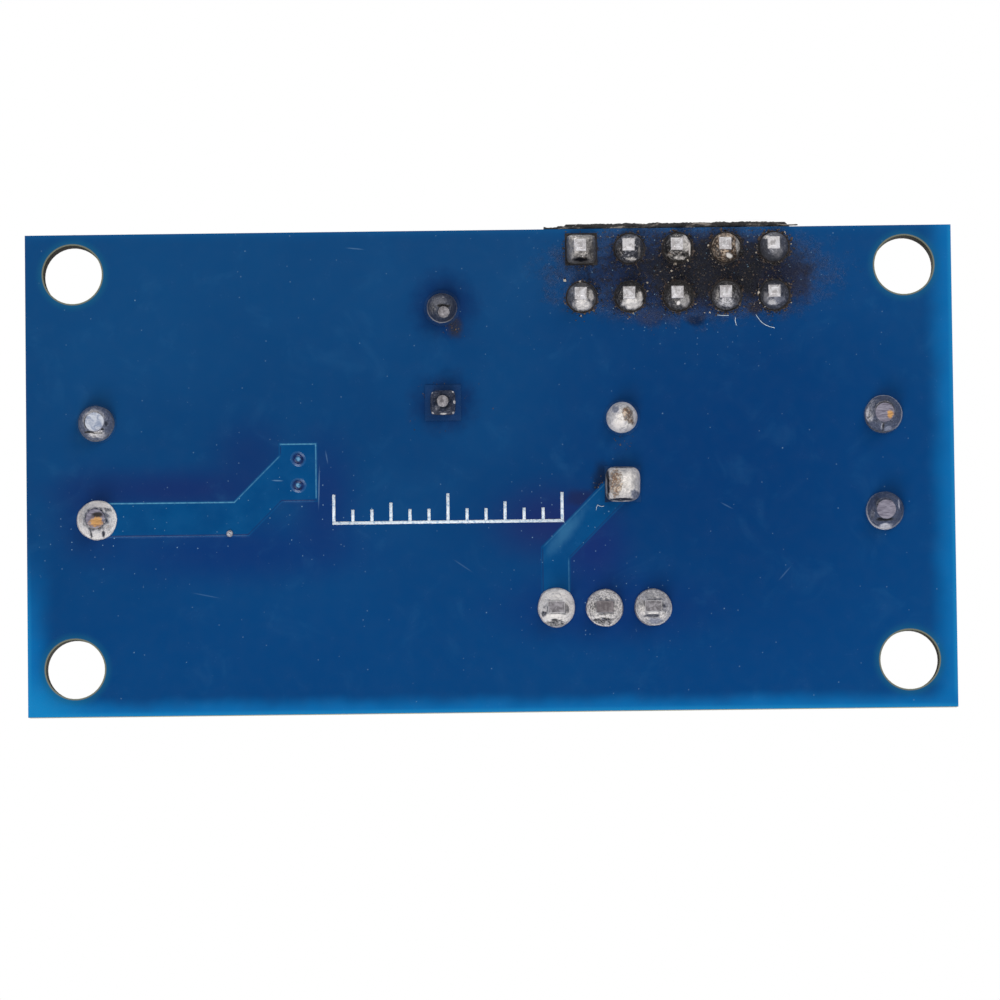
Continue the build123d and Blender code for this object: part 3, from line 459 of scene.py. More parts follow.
terminal_joints = {
    "input": [
        dict(rim=0.95, base=(0.34, 0.5, -0.7), lean=(-0.05, -0.12), dome=0.75, lumps=0.12,
             edge=(0.5, 1.2), blots=[
            (-0.05, -0.2, 0.5, 0.46, 0.8, 0.3, -0.2), (0.1, 0.62, 0.5, 0.2, 0.8, 0.4, -0.2),
            (-0.48, 0.0, 0.08, 0.3, 0.02), (0.2, 0.36, 0.3, 0.06, 0.02), (-0.3, 0.5, 0.25, 0.05, 0.02),
            (0.1, 0.56, 0.3, 0.03, 0.05), (0.6, 0.1, 0.08, 0.16, 0.05, 0, -0.5)]),
        dict(rim=1.06, base=(1.1, 0.1, 0), lean=(0, 0.03), dome=0.1, lumps=0.04, edge=(1.1, 0), blots=[
            (0, 0, 0.62, 0.6, 0.12, 0.6, 0.25), (-0.8, -0.2, 0.12, 0.4, 0.95, 0.3, 0.32),
            (0.62, 0.42, 0.2, 0.16, 0.95, 0.3, 0.36), (0.6, -0.5, 0.2, 0.1, 0.5, 0.5, 0.2),
            (-0.28, 0.78, 0.06, 0.16, 0.08, 0, 0.1), (0.36, 0.76, 0.08, 0.16, 0.1, 0, 0.1),
            (0.04, 0.74, 0.22, 0.14, 1.1)])],
    "output": [
        dict(rim=1.0, base=(0.22, 0.35, -0.8), lean=(0, -0.12), dome=0.45, edge=(1.1, -0.9), blots=[
            (-0.74, -0.02, 0.22, 0.42, 1, 0.8, -0.2), (-0.5, -0.55, 0.3, 0.2, 0.8, 0.9, -0.2),
            (-0.05, 0.72, 0.05, 0.22, 0.02), (-0.14, 0.7, 0.03, 0.2, 0.8, 0, -0.4),
            (0.2, 0.8, 0.2, 0.14, 0.6, 0.1, -0.7), (0, -0.12, 0.62, 0.6, 0.2, 0.6, -0.3)]),
        dict(rim=1.0, base=(0.16, 0.3, -0.85), lean=(-0.05, -0.12), dome=0.5, edge=(0.9, 2.3), blots=[
            (0.7, -0.3, 0.05, 0.3, 0.8, 0.1, -0.5), (-0.05, 0.5, 0.5, 0.1, 0.02),
            (-0.7, 0.2, 0.1, 0.3, 0.34, 0.5, -0.4), (-0.45, -0.4, 0.14, 0.3, 0.1, 0.2, -0.4),
            (0, 0.84, 0.36, 0.14, 0.95, 0.1, -0.35)])],
}
capacitor_joints = {
    "large": [
        dict(rim=0.8, lead=(0.32, 0.32), height=1.15, lean=(0.1, 0.29), dome=0.85, base=(0.05, 0.1, -0.5),
             edge=(0.6, 1.9), blots=[
            (0.08, -0.5, 0.04, 0.04, 1.2), (-0.22, -0.28, 0.4, 0.34, 0.2, 0.12, -0.4),
            (-0.5, 0.1, 0.16, 0.3, 0.14, 0.3, -0.2), (0.1, -0.02, 0.36, 0.1, 0.01)]),
        dict(rim=0.66, lead=(0.3, 0.3), height=1.1, square=5, dome=0.35, lumps=0.08,
             base=(0.1, 0.4, -0.5), blots=[
            (-0.58, -0.52, 0.07, 0.07, 1), (0.54, -0.55, 0.06, 0.06, 1), (-0.56, 0.56, 0.07, 0.07, 0.8),
            (0.55, 0.56, 0.07, 0.07, 0.8), (0.6, 0.0, 0.06, 0.1, 1), (0.05, 0.6, 0.2, 0.04, 0.8),
            (0, 0, 0.42, 0.42, 0.02, 0.2), (-0.3, 0.3, 0.14, 0.12, 0.34, 0.5, -0.3)])],
    "small": [
        dict(rim=0.82, lead=(0.31, 0.31), height=1.42, dome=0.75, base=(0.95, 0.25, -0.12), blots=[
            (-0.2, 0.42, 0.3, 0.22, 1.15), (-0.35, -0.35, 0.2, 0.2, 0.7, 0.3, -0.5),
            (0.26, -0.1, 0.3, 0.4, 0.6, 1, 0.75), (0.45, 0.3, 0.2, 0.2, 0.5, 1, 0.6),
            (0.35, 0.5, 0.24, 0.1, 1.1, 0.3)]),
        dict(rim=0.92, lead=(0.31, 0.31), height=1.42, square=4, dome=0.8, base=(0.8, 0.1, 0), blots=[
            (-0.38, 0, 0.34, 0.76, 1, 1, 0.75), (-0.8, 0.1, 0.1, 0.8, 0.02, 0, 0.3),
            (-0.86, 0.2, 0.04, 0.5, 0.6, 0.2), (-0.1, 0.84, 0.6, 0.06, 0.04, 0.6),
            (0, -0.86, 0.6, 0.06, 0.3, 0.6, 0.3), (0.3, -0.2, 0.12, 0.6, 0.9, 0.1, 0.05),
            (0.64, 0.6, 0.25, 0.22, 0.5, 0.5, -0.6)])],
}
regulator_joints = [
    dict(base=(1.1, 0.25, 0), tongue=0.1, edge=(1.1, 0), blots=[
        (0, 0.02, 0.56, 0.38, 0.3, 0.5, 0.1), (0, 0.42, 0.36, 0.08, 1.15), (0, 0.78, 0.5, 0.14, 0.5, 1),
        (-0.66, 0.3, 0.14, 0.14, 0.35, 0.8), (0.6, 0.1, 0.06, 0.2, 0.4, 0.6),
        (-0.1, 0.62, 0.16, 0.06, 0.1, 0.3)]),
    dict(base=(1, 0.6, 0), edge=(1.1, 1.6), blots=[
        (0, 0, 0.54, 0.42, 0.3, 0.7, 0.15), (0, 0.5, 0.4, 0.07, 1, 0.4), (-0.1, 0.66, 0.5, 0.12, 0.3, 1),
        (0, 0.82, 0.5, 0.1, 0.6, 1), (-0.7, 0, 0.16, 0.4, 0.8, 0.9, 0.1)]),
    dict(base=(0.8, 0.45, -0.1), edge=(1, 0.5), blots=[
        (0, 0, 0.6, 0.44, 0.25, 0.5), (0, 0.34, 0.3, 0.06, 1.1), (0, 0.48, 0.5, 0.08, 0.12, 0.2, -0.3),
        (0.1, 0.74, 0.4, 0.16, 0.6, 0.2, -0.5), (-0.6, 0.2, 0.2, 0.3, 1, 0.4),
        (0.5, 0.45, 0.2, 0.2, 0.9, 0.5)]),
]


def header_place(number):
    """Where a header's pin stands: five along the front edge, then five behind them."""
    row, column = divmod(number, header_columns)
    return header_x + (column - 2) * header_pitch, header_y + (row - 0.5) * header_pitch


joints = []
for number, look in enumerate(header_joints):
    shape = {"dome": 0.62, **look}
    joints.append(solder_bead(header_place(number), rim=0.77, lead=(0.3, 0.3), height=1.1, seed=20 + number,
                              lean=header_lean, lead_square=6, lumps=0.07, **shape))
solder_row("header", joints)

for end, side in (("input", -1), ("output", 1)):
    joints = []
    for number, look in enumerate(terminal_joints[end]):
        centre = (side * terminal_x, terminal_y + (number - 0.5) * pole_pitch)
        joints.append(solder_bead(centre, lead=(0.5, 0.5), height=1.25, seed=40 + number + side, **look))
        joints.append(barrel(centre, terminal_fill_radius))
    solder_row(f"{end}_terminal", joints)

for size, x, y, pitch in (("large", large_x, large_y, large_pitch), ("small", small_x, small_y, small_pitch)):
    joints = []
    for number, look in enumerate(capacitor_joints[size]):
        joints.append(solder_bead((x, y + (number - 0.5) * pitch), seed=60 + number + int(x), **look))
    solder_row(f"{size}_capacitor", joints)

joints = []
for number, look in enumerate(regulator_joints):
    centre = (regulator_x + (number - 1) * regulator_pitch, regulator_y)
    joints.append(solder_bead(centre, rim=0.99, lead=(0.42, 0.28), height=1.15, seed=80 + number,
                              lean=(0, -0.02), lead_square=7, hollow=1.2, lumps=0.06, **look))
    joints.append(barrel(centre, regulator_fill_radius))
solder_row("regulator", joints)


# Solder mask over the board and its tracks

# Each patch of mask: centre, half width and height, softness, colour, and how much of it shows
mask_patches = [
    ((-21, -11), (14, 7), 0.9, (16, 74, 124), 0.5),
    ((2, -11.5), (9, 3.2), 0.9, (22, 74, 122), 0.4),
    ((18, -10), (5, 3), 0.9, (12, 70, 124), 0.6),
    ((21, 3), (6.5, 10), 0.9, (0, 66, 124), 0.8),
    ((-10, 10.5), (18, 6), 0.9, (0, 63, 120), 0.7),
    ((13, 10.5), (9, 4), 0.9, (0, 64, 123), 0.7),
    ((12, 0), (8, 8), 0.9, (0, 52, 107), 0.85),
    ((-16.5, 1.0), (5.0, 0.9), 0.9, (18, 44, 100), 0.9),
    ((-21, 2.2), (1.8, 2.2), 0.7, (14, 44, 98), 0.7),
    ((-13.5, 4.3), (5.6, 1.3), 0.9, (8, 48, 108), 0.8),
    ((-12.6, -0.6), (1.6, 1.6), 0.9, (14, 48, 102), 0.8),
    ((-8.7, 1.6), (1.3, 2.6), 0.9, (14, 46, 104), 0.8),
    ((3.0, 2.9), (2.4, 1.5), 0.9, (26, 40, 96), 0.85),
    ((5.4, 4.4), (1.5, 1.7), 0.9, (20, 42, 104), 0.8),
    ((5.9, 7.5), (4.6, 1.5), 0.8, (8, 44, 104), 0.75),
]
# Where dust lies thick: centre, half width and height
dusty_places = [((-20.2, 3.4), (3.4, 2.4)), ((-10.6, 1.8), (3.4, 3.0)), ((-15.5, 3.6), (5.0, 0.8)),
                ((5.9, 7.4), (5.0, 1.8)), ((10, -10.2), (7.0, 3.6)), ((3.6, 3.4), (2.4, 2.6))]
# Fine scratches: centre, half length, turn, and how pale
scratches = [((-9.02, 1.0), 0.9, 1.6, 0.35), ((-8.6, -0.6), 0.3, 1.4, 0.2), ((-11.2, 0.6), 0.25, 0.05, 0.4),
             ((-7.0, -11.6), 0.4, 0.1, 0.2), ((12.4, 2.2), 0.3, 0.5, 0.16), ((15.4, 5.8), 0.4, 2.3, 0.14),
             ((-15.0, 6.6), 0.6, 0.2, 0.12), ((-1.5, 5.2), 0.5, 0.6, 0.12)]
# Smears of flux: centre, half width and height, and colour
flux_smears = [((8.6, -7.75), (0.85, 0.4), (30, 44, 78)), ((10.9, -7.6), (0.5, 0.3), (8, 18, 42)),
               ((13.9, -9.7), (0.5, 0.8), (12, 14, 24)), ((14.0, -8.2), (0.35, 0.35), (34, 26, 24)),
               ((15.6, -9.4), (1.2, 1.2), (18, 24, 50)), ((-2.4, -3.4), (1.5, 1.4), (10, 38, 84)),
               ((-2.3, -8.5), (1.5, 1.5), (8, 38, 88)), ((-1.75, -7.4), (0.35, 0.5), (44, 46, 56)),
               ((5.9, 1.2), (0.5, 1.2), (14, 20, 36)), ((4.8, 1.7), (0.8, 0.4), (26, 36, 78))]


def mask_colour(made):
    """The blue of the solder mask, with broad paler and deeper patches and navy near the tracks."""
    colour = made.clouds(made.grain(9.0, detail=2), 0.35, 0.68, (5, 60, 111), (9, 66, 117))
    for centre, size, soft, shade, most in mask_patches:
        colour = made.lay(colour, made.spot(centre, size, soft), most, shade)
    haze = made.step(made.grain(2.4, detail=6, rough=0.65, warp=0.8), 0.52, 0.78)
    return made.lay(colour, haze, 0.16, (44, 100, 146))


def dusted(made, colour, amount):
    """Pale specks of dust, many near the joints and tracks and few elsewhere, and some fine scratches."""
    near = 0.0
    for centre, size in dusty_places:
        near = made.sums("MAXIMUM", made.spot(centre, size, 0.8), near)
    for size, width, shown in ((0.55, 0.06, made.times(near, 0.9)), (1.3, 0.03, 0.3), (3.1, 0.014, 0.45)):
        inputs = {"Vector": made.places, "Scale": 1 / (size * mm)}
        scatter = made.add("ShaderNodeTexVoronoi", inputs, voronoi_dimensions="2D")
        chance = made.add("ShaderNodeSeparateXYZ", {"Vector": scatter.outputs["Color"]}).outputs[0]
        reach = made.sums("DIVIDE", scatter.outputs["Distance"], made.step(chance, 0.5, 1.0, 0.05, 1.0))
        speck = made.times(made.step(reach, width, width * 0.5), shown)
        colour = made.lay(colour, speck, amount, (150, 186, 208))
    for centre, length, turn, pale in scratches:
        colour = made.lay(colour, made.spot(centre, (length, 0.03), 0.5, turn=turn), pale, (130, 170, 200))
    return colour


def edge_light(made, colour, x, y):
    """Cyan light that comes in through the glass fibre's cut edges and dies out within a few millimetres."""
    wander = made.swing(made.grain(2.2, detail=2), 0.6)
    low_left = made.step(y, 3.0, 10.0)
    sides = ((made.minus(board_right, x), 1.6, 1.0), (made.minus(board_back, y), 1.1, 1.0),
             (made.minus(x, board_left), 1.6, low_left), (made.minus(y, board_front), 0.6, 0.08))
    for reach, width, most in sides:
        near = made.plus(reach, wander)
        colour = made.lay(colour, made.step(near, width, 0.0), most, (4, 102, 166))
        rim = made.times(made.step(reach, 0.28, 0.05), most)
        colour = made.lay(colour, rim, 0.75, (20, 122, 178))
    return made.lay(colour, made.spot((board_left, board_back), (2.4, 1.6), 0.8), 0.8, (16, 128, 188))


def flux_stain(made, colour):
    """Brown-black flux baked on below the board round the header's joints, thickest between the rows."""
    below = made.step(made.axes()[2], 0.8, 0.7)
    ragged = made.swing(made.grain(0.9, detail=6, rough=0.7), 1.1)
    veil = made.times(made.spot((10.6, -10.15), (6.4, 2.3), 0.4, ragged), below)
    dense = made.times(made.spot((12.0, -10.3), (4.3, 1.7), 0.45, ragged), below)
    colour = made.lay(colour, veil, 0.78, (6, 20, 56))
    colour = made.lay(colour, dense, 0.92, (16, 18, 28))
    grit = made.step(made.grain(0.22, detail=5, rough=0.7, warp=0.6), 0.5, 0.58)
    colour = made.lay(colour, made.times(veil, grit), 0.75, (20, 18, 22))
    gold = made.step(made.grain(0.11, detail=2), 0.68, 0.72)
    colour = made.lay(colour, made.times(veil, gold), 0.45, (128, 112, 96))
    for centre, size, shade in flux_smears:
        colour = made.lay(colour, made.times(made.spot(centre, size, 0.5, ragged), below), 0.75, shade)
    return colour, veil


def board_finish():
    """Blue mask on both faces, bare rims round the mounting holes, and layered fibre at the cut edges."""
    made = Finish("blue_board", rough=0.24, Specular_IOR_Level=0.2)
    x, y, z = made.axes()
    colour, stained = flux_stain(made, edge_light(made, mask_colour(made), x, y))
    colour = dusted(made, colour, 0.9)
    across = made.minus(made.sums("ABSOLUTE", x), hole_x)
    along = made.minus(made.sums("ABSOLUTE", y), hole_y)
    reach = made.sums("SQRT", made.plus(made.times(across, across), made.times(along, along)))
    colour = made.blend(made.step(reach, hole_radius + 0.5, hole_radius, 0.0, 0.5), colour, (24, 96, 126))
    bare = made.step(reach, hole_radius + 0.1, hole_radius + 0.04, 0.0, 0.85)
    colour = made.blend(bare, colour, (124, 122, 96))
    layers = made.grain(0.05, detail=2, stretch=(7, 7, 1))
    fibre = made.clouds(layers, 0.3, 0.7, (154, 154, 124), (178, 176, 146))
    fibre = made.blend(made.step(made.grain(1.6, detail=3), 0.3, 0.7, 0.0, 0.35), fibre, (116, 124, 98))
    from_middle = made.sums("ABSOLUTE", made.minus(z, board_thickness / 2))
    fibre = made.blend(made.step(from_middle, 0.74, 0.77), fibre, (10, 70, 120))
    fibre = made.blend(made.step(reach, hole_radius + 0.2, hole_radius + 0.1), fibre, (40, 38, 30))
    normal = made.add("ShaderNodeTexCoord").outputs["Normal"]
    upright = made.sums("ABSOLUTE", made.add("ShaderNodeSeparateXYZ", {"Vector": normal}).outputs[2])
    face = made.step(upright, 0.5, 0.7)
    satin = made.step(made.grain(0.8, detail=4), 0.3, 0.75, 0.2, 0.28)
    baked = made.step(made.grain(0.3), 0.35, 0.65, 0.22, 0.6)
    rough = made.blend(face, (245, 245, 245), made.blend(stained, satin, baked))
    crust = made.times(stained, made.grain(0.14, detail=5, rough=0.7))
    skin = made.relief(made.grain(0.6, detail=2), 0.004)
    return made.dress(made.blend(face, fibre, colour), rough, normal=made.relief(crust, 0.1, skin))


def track_finish():
    """Mask over copper: paler than the board, with a painted highlight on the lip of edges that face the
    light, painted shade on the lip of the others, and a painted highlight spot on the output track.
    """
    made = Finish("masked_copper", rough=0.24, Specular_IOR_Level=0.2)
    across, lit = made.value_of("across"), made.value_of("lit")
    middle = made.clouds(made.grain(1.6, detail=4), 0.3, 0.7, (0, 66, 119), (0, 73, 126))
    ragged = made.minus(made.grain(0.3, stretch=(1, 2, 1)), 0.5)
    # A painted highlight on the output track's diagonal.
    middle = made.lay(middle, made.spot((3.9, 3.5), (0.3, 1.2), 0.8, ragged, 0.7), 0.4, (66, 126, 164))
    colour = made.blend(made.step(across, 0.3, 0.75), mask_colour(made), middle)
    lip = made.times(made.step(across, 0.72, 0.82), made.step(across, 0.94, 0.86))
    nicks = made.step(made.grain(0.25, detail=4), 0.35, 0.6, 0.6, 1.0)
    # Painted highlight along the lip where it faces the light, stronger towards -X, then painted shade along
    # the lip where it faces away.
    lip_highlight_strength = made.step(made.axes()[0], -3.0, 0.0, 0.85, 0.35)
    colour = made.lay(colour, made.times(lip, made.step(lit, -0.2, 0.9), nicks), lip_highlight_strength, (92, 158, 190))
    colour = made.lay(colour, lip, made.step(lit, 0.3, -0.8, 0.0, 0.7), (24, 34, 84))
    rough = made.step(made.grain(0.8, detail=4), 0.3, 0.75, 0.2, 0.28)
    return made.dress(dusted(made, colour, 0.8), rough, normal=made.relief(made.grain(0.6, detail=2), 0.005))


def covered_pad_finish():
    """Pads that lie under the joints' flux, a little greyer than the board."""
    made = Finish("flux_covered_pad", rough=0.26, Specular_IOR_Level=0.2)
    colour = made.blend(0.25, flux_stain(made, mask_colour(made))[0], (34, 62, 96))
    rough = made.step(made.grain(0.3, detail=4), 0.3, 0.75, 0.22, 0.36)
    return made.dress(colour, rough, normal=made.relief(made.grain(0.2), 0.02))


def upper_track_finish():
    """Masked tracks of the component side, with a painted highlight along their edges."""
    made = Finish("masked_copper_above", rough=0.26, Specular_IOR_Level=0.2)
    colour = made.clouds(made.grain(2.2, detail=4), 0.3, 0.7, (5, 76, 132), (10, 86, 142))
    rounded = made.round_edges(0.04)
    # Painted highlight along the edges.
    colour = made.lay(colour, made.wear(rounded), 0.7, (72, 138, 176))
    rough = made.step(made.grain(0.8, detail=4), 0.3, 0.75, 0.2, 0.3)
    return made.dress(colour, rough, normal=made.relief(made.grain(0.6, detail=2), 0.005, rounded))


def offset_outline(corners, distance):
    """The outline moved outwards by distance, each corner along the line that halves it."""
    points = np.array(corners, float)
    ahead = np.roll(points, -1, axis=0) - points
    ahead /= np.linalg.norm(ahead, axis=1)[:, None]
    behind = np.roll(ahead, 1, axis=0)
    out_ahead = np.stack([ahead[:, 1], -ahead[:, 0]], axis=-1)
    out_behind = np.stack([behind[:, 1], -behind[:, 0]], axis=-1)
    halfway = out_ahead + out_behind
    halfway /= (halfway * out_ahead).sum(1)[:, None]
    area = (points[:, 0] * np.roll(points[:, 1], -1) - points[:, 1] * np.roll(points[:, 0], -1)).sum()
    return points + np.sign(area) * distance * halfway


def make_track(name, corners, replaced):
    """Mask draped over a track: its outline repeated inwards along a profile of offset, depth and share.

    The flat middle is one face, left whole because its outline isn't convex.
    """
    profile = [(0.14, -0.004, 0.0), (0.1, 0.004, 0.3), (0.05, 0.01, 0.6), (0.02, 0.018, 0.74),
               (-0.02, 0.028, 0.84), (-0.06, 0.033, 0.92), (-0.12, 0.035, 1.0)]
    corner_gap, lit_offset = 0.17, 0.1
    begins = np.array(corners, float)
    runs = np.roll(begins, -1, axis=0) - begins
    near = corner_gap / np.linalg.norm(runs, axis=1)[:, None]
    fine = np.stack([begins, begins + runs * near, begins + runs * (1 - near)], axis=1).reshape(-1, 2)
    columns = len(fine)
    rings = [np.column_stack([offset_outline(fine, distance), np.full(columns, -depth)])
             for distance, depth, share in profile]
    across = np.repeat([share for distance, depth, share in profile], columns)
    # How far each edge faces the light, for the painted highlight and shade on the lip.
    edge = offset_outline(fine, lit_offset) - fine
    lit = np.tile((edge[:, 0] * 0.5 - edge[:, 1]) / lit_offset, len(profile))
    middle = np.arange(columns) + (len(profile) - 1) * columns
    faces = grid_faces(len(profile), columns)[:, ::-1].tolist() + [middle[::-1].tolist()]
    make_mesh(name, np.vstack(rings), faces, track, "masked_track", [replaced],
              marks={"across": across, "lit": lit})


board, track = board_finish(), track_finish()
covered_pad, upper_track = covered_pad_finish(), upper_track_finish()
make_track("input_track_mask", [(-20.7, 1.695), (-13.482, 1.695), (-11.05, -0.737), (-11.05, -1.33),
                                (-9.15, -1.33), (-9.15, 1.67), (-10.983, 1.67), (-12.758, 3.445),
                                (-20.7, 3.445)], "input_track")
make_track("output_track_mask", [(2.68, 7.5), (2.68, 4.28), (6.455, 0.505), (7.445, 1.495), (4.08, 4.86),
                                 (4.08, 7.5)], "output_track")


# Small things on the board: tented vias, flux crumbs, fibres, bent leads


def tented_vias():
    """Two rings of mask drawn up round plugged holes, from a profile of radius, depth, ring and glint."""
    made = Finish("tented_via", rough=0.24, Specular_IOR_Level=0.35)
    shade = made.clouds(made.grain(0.12), 0.4, 0.6, (6, 26, 70), (14, 44, 96))
    shade = made.blend(made.value_of("ring"), (8, 76, 130), shade)
    shade = made.lay(shade, made.value_of("glint"), made.step(made.grain(0.1), 0.3, 0.6), (120, 176, 208))
    rough = made.step(made.grain(0.15), 0.3, 0.7, 0.2, 0.34)
    made.dress(shade, rough, normal=made.relief(made.grain(0.15), 0.01))
    profile = np.array([(0.42, 0.028, 0, 0), (0.4, 0.037, 0, 0), (0.34, 0.052, 0.1, 0),
                        (0.28, 0.078, 0.8, 0), (0.24, 0.086, 1, 0), (0.2, 0.075, 1, 0),
                        (0.15, 0.056, 0.9, 0), (0.1, 0.054, 0.3, 0.6), (0.05, 0.062, 0.1, 0.8)])
    angle = np.linspace(0, 2 * np.pi, via_sides, endpoint=False)
    shapes = []
    for number in (0, 1):
        middle = (via_x, via_y + (number - 0.5) * via_pitch)
        wobble = 1 + 0.05 * np.sin(2 * angle + number)
        shapes.append(turned_shape(middle, profile[:, :2] * (1, -1), via_sides, wobble))
    marks = {mark: np.tile(np.append(np.repeat(profile[:, i], via_sides), profile[[0, -1], i]), 2)
             for mark, i in (("ring", 2), ("glint", 3))}
    make_piece("tented_via_caps", shapes, made, "masked_track", marks=marks)


def crumbs(places, sizes, seed):
    """Grains of flux: an octahedron at each place, its corners moved in or out, flattened and turned."""
    chance = np.random.default_rng(seed)
    corners = np.array([(1, 0, 0), (0, 1, 0), (-1, 0, 0), (0, -1, 0), (0, 0, 1), (0, 0, -1)], float)
    faces = np.array([(0, 1, 4), (1, 2, 4), (2, 3, 4), (3, 0, 4), (1, 0, 5), (2, 1, 5), (3, 2, 5), (0, 3, 5)])
    grow = chance.uniform(0.6, 1.3, (len(places), 6, 1))
    turn = chance.uniform(0, 2 * np.pi, len(places))
    c, s = np.cos(turn)[:, None], np.sin(turn)[:, None]
    x, y, z = np.moveaxis(corners * grow * sizes[:, None, None] * np.array((1, 1, 0.6)), -1, 0)
    points = np.stack([x * c - y * s, x * s + y * c, z], axis=-1) + places[:, None]
    triangles = (faces + 6 * np.arange(len(places))[:, None, None]).reshape(-1, 3)
    return points.reshape(-1, 3), np.zeros((0, 4), int), triangles


def flux_crumbs():
    """Burnt grains, thickest round the header's joints, between its rows and along the edge beside them."""
    made = Finish("burnt_flux", rough=0.4)
    shade = made.value_of("shade")
    dark = made.clouds(shade, 0.3, 0.75, (12, 11, 15), (76, 60, 50))
    colour = made.clouds(shade, 0.93, 1.0, dark, (206, 194, 178))
    made.dress(colour, made.step(made.grain(0.05), 0.3, 0.7, 0.25, 0.6))
    between_rows, along_edge, around_first, more_each = 520, 160, 90, 30
    chance = np.random.default_rng(7)
    spots, sizes = [], []
    for number in range(len(header_joints)):
        count = around_first + more_each * (number % header_columns)
        turn = chance.uniform(0, 2 * np.pi, count)
        reach = 0.8 + chance.exponential(0.12, count)
        spots.append(header_place(number) + np.column_stack([np.cos(turn), np.sin(turn)]) * reach[:, None])
        sizes.append(chance.lognormal(-3.2, 0.4, count))
    spots.append(np.column_stack([chance.triangular(5.0, 12.5, 16.2, between_rows),
                                  chance.normal(-10.2, 0.55, between_rows)]))
    spots.append(np.column_stack([chance.uniform(4.6, 15.4, along_edge),
                                  chance.uniform(-12.4, -11.9, along_edge)]))
    sizes += [chance.lognormal(-3.5, 0.4, between_rows), chance.lognormal(-3.6, 0.35, along_edge)]
    for x, y, wide, count in ((-1.8, -7.45, 0.25, 60), (-2.45, -3.4, 0.7, 70), (5.95, 1.1, 0.35, 50),
                              (7.0, -1.4, 0.4, 30), (14.0, -8.2, 0.22, 60), (8.8, -7.7, 0.5, 30)):
        spots.append(np.column_stack([chance.normal(x, wide, count), chance.normal(y, wide, count)]))
        sizes.append(chance.lognormal(-3.7, 0.35, count))
    spots, sizes = np.vstack(spots), np.clip(np.concatenate(sizes), 0.015, 0.1)
    margin = 0.1
    kept = (spots[:, 1] > board_front + margin) & (spots[:, 0] > board_left + margin)
    spots, sizes = spots[kept], sizes[kept]
    places = np.column_stack([spots, -sizes * 0.35])
    make_piece("flux_crumbs", [crumbs(places, sizes, 8)], made, "board", flat=True,
               marks={"shade": np.repeat(chance.uniform(0, 1, len(sizes)), 6)})


def edge_burr():
    """A burr of glass fibre, dust and burnt flux along the cut edge, thickest where the header is."""
    made = Finish("edge_fuzz", rough=0.8)
    runs = made.grain(0.4, detail=5, stretch=(4, 1, 1))
    made.dress(made.clouds(runs, 0.5, 0.62, (26, 26, 28), (150, 142, 134)),
               made.step(made.grain(0.1), 0.3, 0.7, 0.6, 0.9))
    start, end, insulator_start, insulator_end = 2.95, 16.35, 4.5, 15.4
    x = np.linspace(start, end, 420)
    radius = 0.08 + 0.03 * ripple(x, x * 0, 0.9, 31) + 0.022 * ripple(x, x * 0, 0.16, 32)
    thick = np.clip((x - insulator_start) * 3, 0, 1) * np.clip((insulator_end - x) * 3, 0, 1)
    y = board_front - 0.07 - 0.07 * thick + 0.04 * ripple(x, x * 0, 1.1, 33)
    burr = tube(np.column_stack([x, y, 0.1 + 0.08 * thick]),
                np.clip(radius * np.clip((16.5 - x) / 2, 0.5, 1), 0.03, 0.14) + 0.08 * thick)
    make_piece("edge_burr", [burr], made, "board")


def arc_path(start, end, bow, count=24):
    """Points along a curve from start to end that bows sideways as a sine, by bow at its middle."""
    share = np.linspace(0, 1, count)[:, None]
    start, end = np.array(start, float), np.array(end, float)
    sideways = np.array([start[1] - end[1], end[0] - start[0], 0]) / np.linalg.norm(end - start)
    return start + (end - start) * share + sideways * bow * np.sin(np.pi * share)


def stray_fibres():
    """Five pale fibres that lie on the solder side, each from its ends, its bow and its radius."""
    made = Finish("lint", rough=0.6)
    made.dress(made.clouds(made.grain(0.3), 0.3, 0.7, (170, 190, 206), (224, 232, 238)))
    fibres = [((14.08, -7.86, -0.03), (15.05, -7.14, -0.03), 0.16, 0.018),
              ((12.05, -7.86, -0.02), (12.65, -7.83, -0.02), 0.02, 0.018),
              ((13.0, -7.72, -0.02), (13.05, -7.3, -0.02), 0.03, 0.016),
              ((5.62, 2.08, -0.075), (5.95, 2.15, -0.075), 0.05, 0.014),
              ((5.62, 2.08, -0.075), (5.54, 2.36, -0.075), 0.02, 0.012)]
    shapes = [tube(arc_path(start, end, bow), radius) for start, end, bow, radius in fibres]
    make_piece("stray_fibres", shapes, made, "board")


def cut_lead_finish():
    """Tinned wire, with a bare grey face where it was cut and a painted highlight on the rim round that face.
    """
    made = Finish("cut_lead", rough=0.36, metal=1.0)
    z = made.axes()[2]
    patch = made.grain(0.25, detail=5, warp=0.8)
    tin = made.clouds(patch, 0.35, 0.65, (178, 178, 182), (206, 206, 210))
    face = made.clouds(patch, 0.35, 0.7, (106, 102, 106), (160, 156, 160))
    rounded = made.round_edges(0.07)
    # Painted highlight on the rim of the cut face.
    face = made.lay(face, made.wear(rounded), 0.9, (232, 230, 230))
    return made.dress(made.blend(made.step(z, -1.25, -1.33), tin, face), made.step(patch, 0.3, 0.7, 0.3, 0.5),
                      made.step(z, -1.33, -1.2, 0.2, 1.0), made.relief(patch, 0.03, rounded))


def bent_leads():
    """The larger capacitor's leads, the front one bent towards its neighbour below the board."""
    front, back = large_y - large_pitch / 2, large_y + large_pitch / 2
    bend = ((0, 0, 3.65), (0, 0, 1.8), (0, 0, 0.6), (0.02, 0.08, 0.1), (0.07, 0.22, -0.6),
            (0.12, 0.33, lead_tip))
    leads = [tube([(large_x + right, front + up, z) for right, up, z in bend], capacitor_lead_radius, 24),
             tube([(large_x, back, z) for z in (3.65, 0.5, lead_tip)], capacitor_lead_radius, 24)]
    make_piece("large_capacitor_bent_leads", leads, lead_metal, "tinned_copper",
               replaced=["large_capacitor_leads"])


